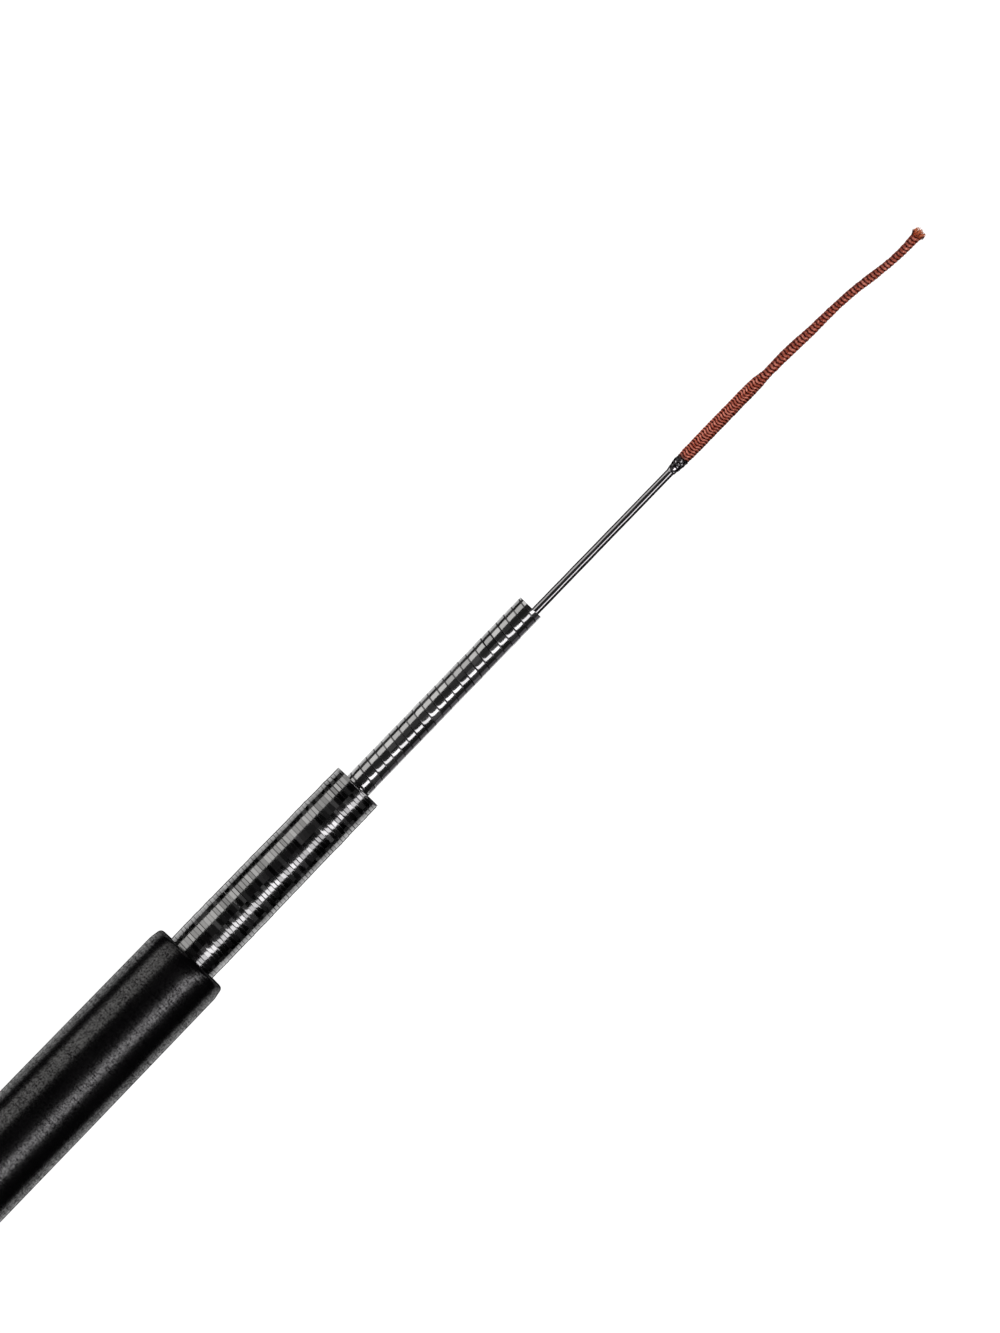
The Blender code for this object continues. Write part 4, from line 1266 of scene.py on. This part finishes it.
def ridge_share(rows, bore_limit, mouth, ridged):
    """One where a tube's outside is ridged, easing to nought over the first of that stretch."""
    share = np.clip((rows[:, 0] - mouth + ridged) / RIDGE_FADE, 0.0, 1.0)
    return (share * (rows[:, 1] > bore_limit))[:, None]


# Rings of the binding tape as the material shows them: a height that matches the modelled ridges, a
# dark line at each groove, of unfilled lacquer darkened by painted shade, and bands and blocks that
# differ from ring to ring.
tape_winding, given, taken = shared_effect(
    "tape winding",
    {"Pitch": 0.001, "Step at": 0.0, "Shoulder": 0.06, "Line": 0.08, "Faintest": 0.3, "Cells": 30.0},
    ["Height", "Line", "Band", "Blocks"],
)
winding = tape_winding
skin_uv = add_node(winding, "ShaderNodeUVMap", uv_map="skin").outputs[0]
turns, reach, _ = add_node(winding, "ShaderNodeSeparateXYZ", {0: skin_uv}).outputs
count = reckon(winding, "DIVIDE", reckon(winding, "SUBTRACT", reach, given["Step at"]), given["Pitch"])
count = reckon(winding, "ADD", count, turns)
phase = reckon(winding, "FRACT", count)
fall = reckon(winding, "DIVIDE", reckon(winding, "MULTIPLY", phase, -1.0), given["Shoulder"])
height = reckon(winding, "SUBTRACT", 1.0, reckon(winding, "EXPONENT", fall))
winding.links.new(height, taken["Height"])
off_step = reckon(winding, "ABSOLUTE", reckon(winding, "SUBTRACT", phase, 0.5))
off_step = reckon(winding, "SUBTRACT", 0.5, off_step)
line = eased(winding, reckon(winding, "DIVIDE", off_step, given["Line"]), 0.4, 1.0, 1.0, 0.0)
strip = reckon(winding, "SUBTRACT", reckon(winding, "FLOOR", count), turns)
lap = reckon(winding, "FLOOR", reckon(winding, "MULTIPLY", strip, LAPS_ROUND))
laps = add_node(winding, "ShaderNodeTexWhiteNoise", {"W": lap}, noise_dimensions="1D")
lap_values = add_node(winding, "ShaderNodeSeparateColor", {0: laps.outputs["Color"]}).outputs
winding.links.new(lap_values[0], taken["Band"])
strength = eased(winding, lap_values[1], 0.25, 0.9, given["Faintest"], 1.0)
winding.links.new(reckon(winding, "MULTIPLY", line, strength), taken["Line"])
cell = reckon(winding, "FLOOR", reckon(winding, "MULTIPLY", strip, given["Cells"]))
blocks = add_node(winding, "ShaderNodeTexWhiteNoise", {"W": cell}, noise_dimensions="1D")
winding.links.new(blocks.outputs["Value"], taken["Blocks"])


def carbon_material(name, body, patchy, depth, rings_at, mouth, ridged, high, shoulder, line, faint):
    """Gloss lacquer over carbon: a dark metallic body under a clear coat. Where the mesh has no
    ridges, bump of the same height shows them. Its grooves are darker, partly by painted shade, and
    less glossy. The body is patchy from lap to lap. The cloth under it has lighter blocks, where a
    random value cubed is above its mean, and shows them more the deeper the eye sees into it."""
    pitch, ring_at = rings_at
    made, tree, shader = new_material(name, Coat_Weight=1.0, Coat_Roughness=0.03, Coat_IOR=1.5)
    rings = place_effect(
        tree,
        tape_winding,
        Pitch=pitch * MM,
        Step_at=(ring_at[0] + ring_at[1] * pitch) * MM,
        Shoulder=shoulder / pitch,
        Line=line / pitch,
        Faintest=faint,
        Cells=CLOTH_CELLS,
    )
    spot = add_node(tree, "ShaderNodeTexCoord").outputs["Object"]
    spot_x = add_node(tree, "ShaderNodeSeparateXYZ", {0: spot}).outputs[0]
    ridges_from = (mouth - ridged) * MM
    ridges_full = (mouth - ridged + RIDGE_FADE) * MM
    plain = eased(tree, spot_x, ridges_from, ridges_full, 1.0, 0.0)
    height = reckon(tree, "MULTIPLY", rings["Height"], plain)
    fine = mottled(tree, 4200.0, stretch=(1.0, 0.25, 0.25), detail=2.0)
    height = reckon(tree, "MULTIPLY_ADD", fine, FINE_GRAIN, height)
    shade = eased(tree, rings["Band"], 0.0, 1.0, 1.0 - patchy, 1.0 + patchy)
    shade = reckon(tree, "MULTIPLY", shade, body)
    cloth = add_node(tree, "ShaderNodeCombineColor", {0: shade, 1: shade, 2: shade}).outputs[0]
    lighter = reckon(tree, "SUBTRACT", reckon(tree, "POWER", rings["Blocks"], 3.0), BLOCK_MEAN)
    sunk = reckon(tree, "MULTIPLY_ADD", lighter, BLOCK_GAIN * patchy * depth, BLOCK_MEAN * depth)
    # Each groove is darkened with painted shade as well as left dull and bare of coat.
    feed(
        tree,
        shader,
        Base_Color=blended(tree, rings["Line"], cloth, CARBON_GROOVE),
        Metallic=reckon(tree, "SUBTRACT", 1.0, sunk),
        Roughness=reckon(tree, "MULTIPLY_ADD", rings["Line"], GROOVE_DULLS, CARBON_ROUGH),
        Coat_Weight=reckon(tree, "MULTIPLY_ADD", rings["Line"], -GROOVE_BARES, 1.0),
        Normal=relief(tree, height, high * MM),
    )
    return made


CARBON_GROOVE = (0.006, 0.005, 0.006, 1.0)
CARBON_ROUGH = 0.14
GROOVE_DULLS = 0.25
GROOVE_BARES = 0.95
FINE_GRAIN = 0.05
CLOTH_CELLS = 16.0
BLOCK_MEAN = 0.25
BLOCK_GAIN = 2.2
three_axis = axis_of("section_three")
three_rows, _ = carbon_rows(
    THREE_BASE,
    THREE_BASE_RADIUS,
    THREE_WEDGE,
    THREE_SHOULDER,
    THREE_MOUTH,
    THREE_MOUTH_RADIUS,
    (THREE_MOUTH_BORE, THREE_INNER_JAM, THREE_BASE_BORE),
    THREE_RIDGED,
    THREE_RIDGE_STEP,
)
half_ring_at = (THREE_RING_AT[0] - THREE_PITCH / 2, THREE_RING_AT[1])
three_main, three_half = [
    tape_ridges(three_rows, THREE_SIDES, THREE_PITCH, at, THREE_SHOULDER_LONG, THREE_SPREAD, seed)
    for at, seed in ((THREE_RING_AT, 23), (half_ring_at, 24))
]
three_ridges = three_main + THREE_HALF_SHARE * three_half - THREE_RING_LEVEL
three_ridges = three_ridges * THREE_RING_HIGH
three_varied = uneven(three_rows, THREE_SIDES, shortest=1.3, seed=21)
three_ridges = three_ridges * (1.0 + RIDGES_VARY * three_varied)
three_share = ridge_share(three_rows, THREE_OUTSIDE, THREE_MOUTH, THREE_RIDGED)
section_three = grid_skin(
    "section_three_skin",
    turned(three_axis, three_rows, THREE_SIDES, three_ridges * three_share),
    three_rows[:, 0],
    loop=True,
)
section_three.data.materials.append(
    carbon_material(
        "gloss carbon, section three",
        body=0.12,
        patchy=0.45,
        depth=0.32,
        rings_at=(THREE_PITCH / 2, THREE_RING_AT),
        mouth=THREE_MOUTH,
        ridged=THREE_RIDGED,
        high=THREE_RING_HIGH,
        shoulder=THREE_SHOULDER_LONG,
        line=0.08,
        faint=0.25,
    )
)
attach(section_three, "section_three")
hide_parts("section_three")

# Section two
# The thinner inner blank, made the same way with a wider lap of the tape, so that its rings stand
# like shingles: each ends in a clear step towards the butt.
TWO_SIDES = 96
TWO_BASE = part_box("section_two")[0].x / MM
TWO_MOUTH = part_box("section_two")[1].x / MM
TWO_MOUTH_RADIUS = 1.425
TWO_OUTSIDE = TWO_MOUTH_RADIUS - 0.14
TWO_SHOULDER = (TWO_MOUTH - 12.0, 1.43)
TWO_WEDGE = (TWO_BASE + 80.0, 2.2)
TWO_BASE_RADIUS = 2.288
TWO_MOUTH_BORE = 1.13
TWO_INNER_JAM = (TWO_MOUTH - 70.0, 1.207)
TWO_BASE_BORE = 1.808
TWO_PITCH = 1.1
TWO_RING_AT = (TWO_MOUTH - 1.65, 0.31)
TWO_RING_HIGH = 0.038
TWO_RING_LEVEL = 0.8
TWO_SHOULDER_LONG = 0.14
TWO_SPREAD = 0.25
TWO_RIDGED = 28.0
TWO_RIDGE_STEP = 0.036
two_axis = axis_of("section_two")
two_rows, _ = carbon_rows(
    TWO_BASE,
    TWO_BASE_RADIUS,
    TWO_WEDGE,
    TWO_SHOULDER,
    TWO_MOUTH,
    TWO_MOUTH_RADIUS,
    (TWO_MOUTH_BORE, TWO_INNER_JAM, TWO_BASE_BORE),
    TWO_RIDGED,
    TWO_RIDGE_STEP,
)
two_ridges = tape_ridges(
    two_rows, TWO_SIDES, TWO_PITCH, TWO_RING_AT, TWO_SHOULDER_LONG, TWO_SPREAD, 25
)
two_ridges = (two_ridges - TWO_RING_LEVEL) * TWO_RING_HIGH
two_varied = uneven(two_rows, TWO_SIDES, shortest=1.6, seed=22)
two_ridges = two_ridges * (1.0 + RIDGES_VARY * two_varied)
two_share = ridge_share(two_rows, TWO_OUTSIDE, TWO_MOUTH, TWO_RIDGED)
section_two = grid_skin(
    "section_two_skin",
    turned(two_axis, two_rows, TWO_SIDES, two_ridges * two_share),
    two_rows[:, 0],
    loop=True,
)
section_two.data.materials.append(
    carbon_material(
        "gloss carbon, section two",
        body=0.21,
        patchy=0.22,
        depth=0.40,
        rings_at=(TWO_PITCH, TWO_RING_AT),
        mouth=TWO_MOUTH,
        ridged=TWO_RIDGED,
        high=TWO_RING_HIGH,
        shoulder=TWO_SHOULDER_LONG,
        line=0.12,
        faint=0.7,
    )
)
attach(section_two, "section_two")
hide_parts("section_two")

# Tip rod
# Solid carbon, ground to its taper without rings and lacquered. Its base swells to a jam, and its
# thin end carries the whipping and goes into the lillian's sleeve.
TIP_SIDES = 48
TIP_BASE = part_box("tip_blank")[0].x / MM
TIP_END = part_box("tip_blank")[1].x / MM
TIP_WEDGE = (TIP_BASE + 70.0, 1.03)
TIP_BASE_RADIUS = 1.107
TIP_STEM = (TWO_MOUTH - 8.0, 0.445)
TIP_SHOULDER = (TWO_MOUTH, 0.44)
TIP_END_RADIUS = 0.41
TIP_HUB = 0.2
TIP_END_HUB = 0.1
TIP_UNEVEN = 0.003
TIP_UNEVEN_FROM = TWO_MOUTH - 9.0
tip_rows, _ = rounded(
    [
        (TIP_BASE, TIP_HUB, 0.0, 1.0),
        (TIP_BASE, TIP_BASE_RADIUS, 0.12, 4.0),
        (*TIP_WEDGE, 0.0, LONG_STEP),
        (*TIP_STEM, 0.0, 0.25),
        (*TIP_SHOULDER, 0.0, 0.25),
        (TIP_END, TIP_END_RADIUS, 0.05, 0.1),
        (TIP_END, TIP_END_HUB, 0.0, 1.0),
    ],
    loop=False,
)
tip_raised = TIP_UNEVEN * uneven(tip_rows, TIP_SIDES, shortest=2.5, seed=31)
tip_raised = tip_raised * (tip_rows[:, :1] > TIP_UNEVEN_FROM)
tip_rod = grid_skin(
    "tip_rod",
    turned(tip_axis, tip_rows, TIP_SIDES, tip_raised),
    tip_rows[:, 0],
)
TIP_DARK = (0.145, 0.140, 0.145, 1.0)
TIP_LIGHT = (0.205, 0.200, 0.205, 1.0)
ground_carbon, tree, shader = new_material(
    "gloss carbon, tip", Coat_Weight=1.0, Coat_Roughness=0.03, Coat_IOR=1.5, Metallic=0.9
)
ground = place_effect(tree, turning_marks, Rings=3500.0, Waver=500.0)
feed(
    tree,
    shader,
    Base_Color=blended(tree, ground["Streak"], TIP_DARK, TIP_LIGHT),
    Roughness=reckon(tree, "MULTIPLY_ADD", ground["Streak"], 0.06, 0.06),
    Normal=relief(tree, ground["Height"], 0.000003),
)
tip_rod.data.materials.append(ground_carbon)
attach(tip_rod, "tip")
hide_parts("tip_blank")

# Whipping
# Black thread wound over the rod and the mouth of the lillian's sleeve, and drowned in gloss glue
# that has set in lumps over its turns.
# The glue is drawn a little shorter than its solid, since the photo shows the sleeve's red before
# the solid's end.
WHIPPING_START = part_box("tip_whipping")[0].x / MM + 0.15
WHIPPING_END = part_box("tip_whipping")[1].x / MM - 0.28
WHIPPING_FULL = WHIPPING_END - 0.1
WHIPPING_RADIUS = 0.69
WHIPPING_SKIRT = 0.03
WHIPPING_START_ROUNDING = 0.15
WHIPPING_END_ROUNDING = 0.12
WHIPPING_END_DROP = 0.12
WHIPPING_ROWS = 110
WHIPPING_SIDES = 72
WINDING_PITCH = 0.21
WINDING_HIGH = 0.014
LUMP_HIGH = 0.016
BEAD_AT = (0.46, 1.80)
BEAD_REACH = (0.20, 0.28)
BEAD_FACES = 1.93
BEAD_LEVEL = 0.545
WHIPPING_LAP = 0.1
WHIPPING_LAP_LONG = 0.8
WHIPPING_ASLANT = 2.0
whipping_along = np.linspace(WHIPPING_START, WHIPPING_END, WHIPPING_ROWS)
rod_there = np.interp(whipping_along, [TWO_MOUTH, TIP_END], [TIP_SHOULDER[1], TIP_END_RADIUS])
cone = np.interp(whipping_along, [WHIPPING_START, WHIPPING_FULL], [0.0, 1.0])
skirt = rod_there + WHIPPING_SKIRT
whipping_radius = skirt + (WHIPPING_RADIUS - skirt) * cone
to_end = (WHIPPING_END - whipping_along) / WHIPPING_END_ROUNDING
end_round = np.sqrt(np.clip(to_end, 0.0, 1.0))
from_start = (whipping_along - WHIPPING_START) / WHIPPING_START_ROUNDING
start_round = np.sqrt(np.clip(from_start, 0.0, 1.0))
whipping_radius = whipping_radius - WHIPPING_END_DROP * (1.0 - end_round)
whipping_radius = whipping_radius - WHIPPING_SKIRT * (1.0 - start_round)
whipping_rows = np.stack([whipping_along, whipping_radius], -1)
winding_turn = np.arange(WHIPPING_SIDES)[None] / WHIPPING_SIDES
winding_phase = (whipping_rows[:, :1] / WINDING_PITCH + winding_turn) * math.tau
whipping_raised = WINDING_HIGH * (np.abs(np.cos(winding_phase / 2)) - 0.5)
glue_lumps = uneven(whipping_rows, WHIPPING_SIDES, shortest=0.5, seed=41)
whipping_raised = whipping_raised + LUMP_HIGH * glue_lumps
bead_along = (whipping_rows[:, :1] - WHIPPING_START - BEAD_AT[0]) / BEAD_REACH[0]
bead_round = (winding_turn * math.tau - BEAD_AT[1]) / BEAD_REACH[1]
bead = np.exp(-((bead_along**2 + bead_round**2) ** 2))
bead_flat = BEAD_LEVEL / np.cos(winding_turn * math.tau - BEAD_FACES) - whipping_radius[:, None]
whipping_raised = whipping_raised + bead * (bead_flat - whipping_raised)
whipping_raised = whipping_raised * (start_round * end_round)[:, None]
whipping_skin = turned(tip_axis, whipping_rows, WHIPPING_SIDES, whipping_raised)
# The glue's end is uneven and aslant: it laps further up the sleeve on one side.
lap_from = WHIPPING_END - WHIPPING_LAP_LONG
near_end = np.clip((whipping_rows[:, :1] - lap_from) / WHIPPING_LAP_LONG, 0.0, 1.0)
lap = uneven(whipping_rows, WHIPPING_SIDES, shortest=9.0, seed=43)
lap = lap - WHIPPING_ASLANT * np.cos(winding_turn * math.tau)
whipping_skin[..., 0] += WHIPPING_LAP * near_end * lap
glued_whipping = grid_skin(
    "glued_whipping",
    whipping_skin,
    whipping_rows[:, 0],
    bead=bead,
)
GLUE_BLACK = (0.004, 0.003, 0.004, 1.0)
GLUE_GLINT = (0.30, 0.29, 0.30, 1.0)
glue, tree, shader = new_material(
    "gloss glue over black thread", Roughness=0.2, Specular_IOR_Level=0.15, Coat_Roughness=0.05
)
lumps = mottled(tree, 5200.0, detail=3.0)
# Specks and the bead are made a bright metal so that they catch the lamp: painted glints on the black
# glue.
glossy = eased(tree, mottled(tree, 3600.0, detail=2.0), 0.52, 0.66)
glossy = reckon(tree, "MAXIMUM", glossy, eased(tree, stored(tree, "bead"), 0.45, 0.75))
feed(
    tree,
    shader,
    Base_Color=blended(tree, glossy, GLUE_BLACK, GLUE_GLINT),
    Metallic=reckon(tree, "MULTIPLY", glossy, 0.97),
    Coat_Weight=glossy,
    Normal=relief(tree, lumps, 0.00002),
)
glued_whipping.data.materials.append(glue)
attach(glued_whipping, "tip")
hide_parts("tip_whipping")
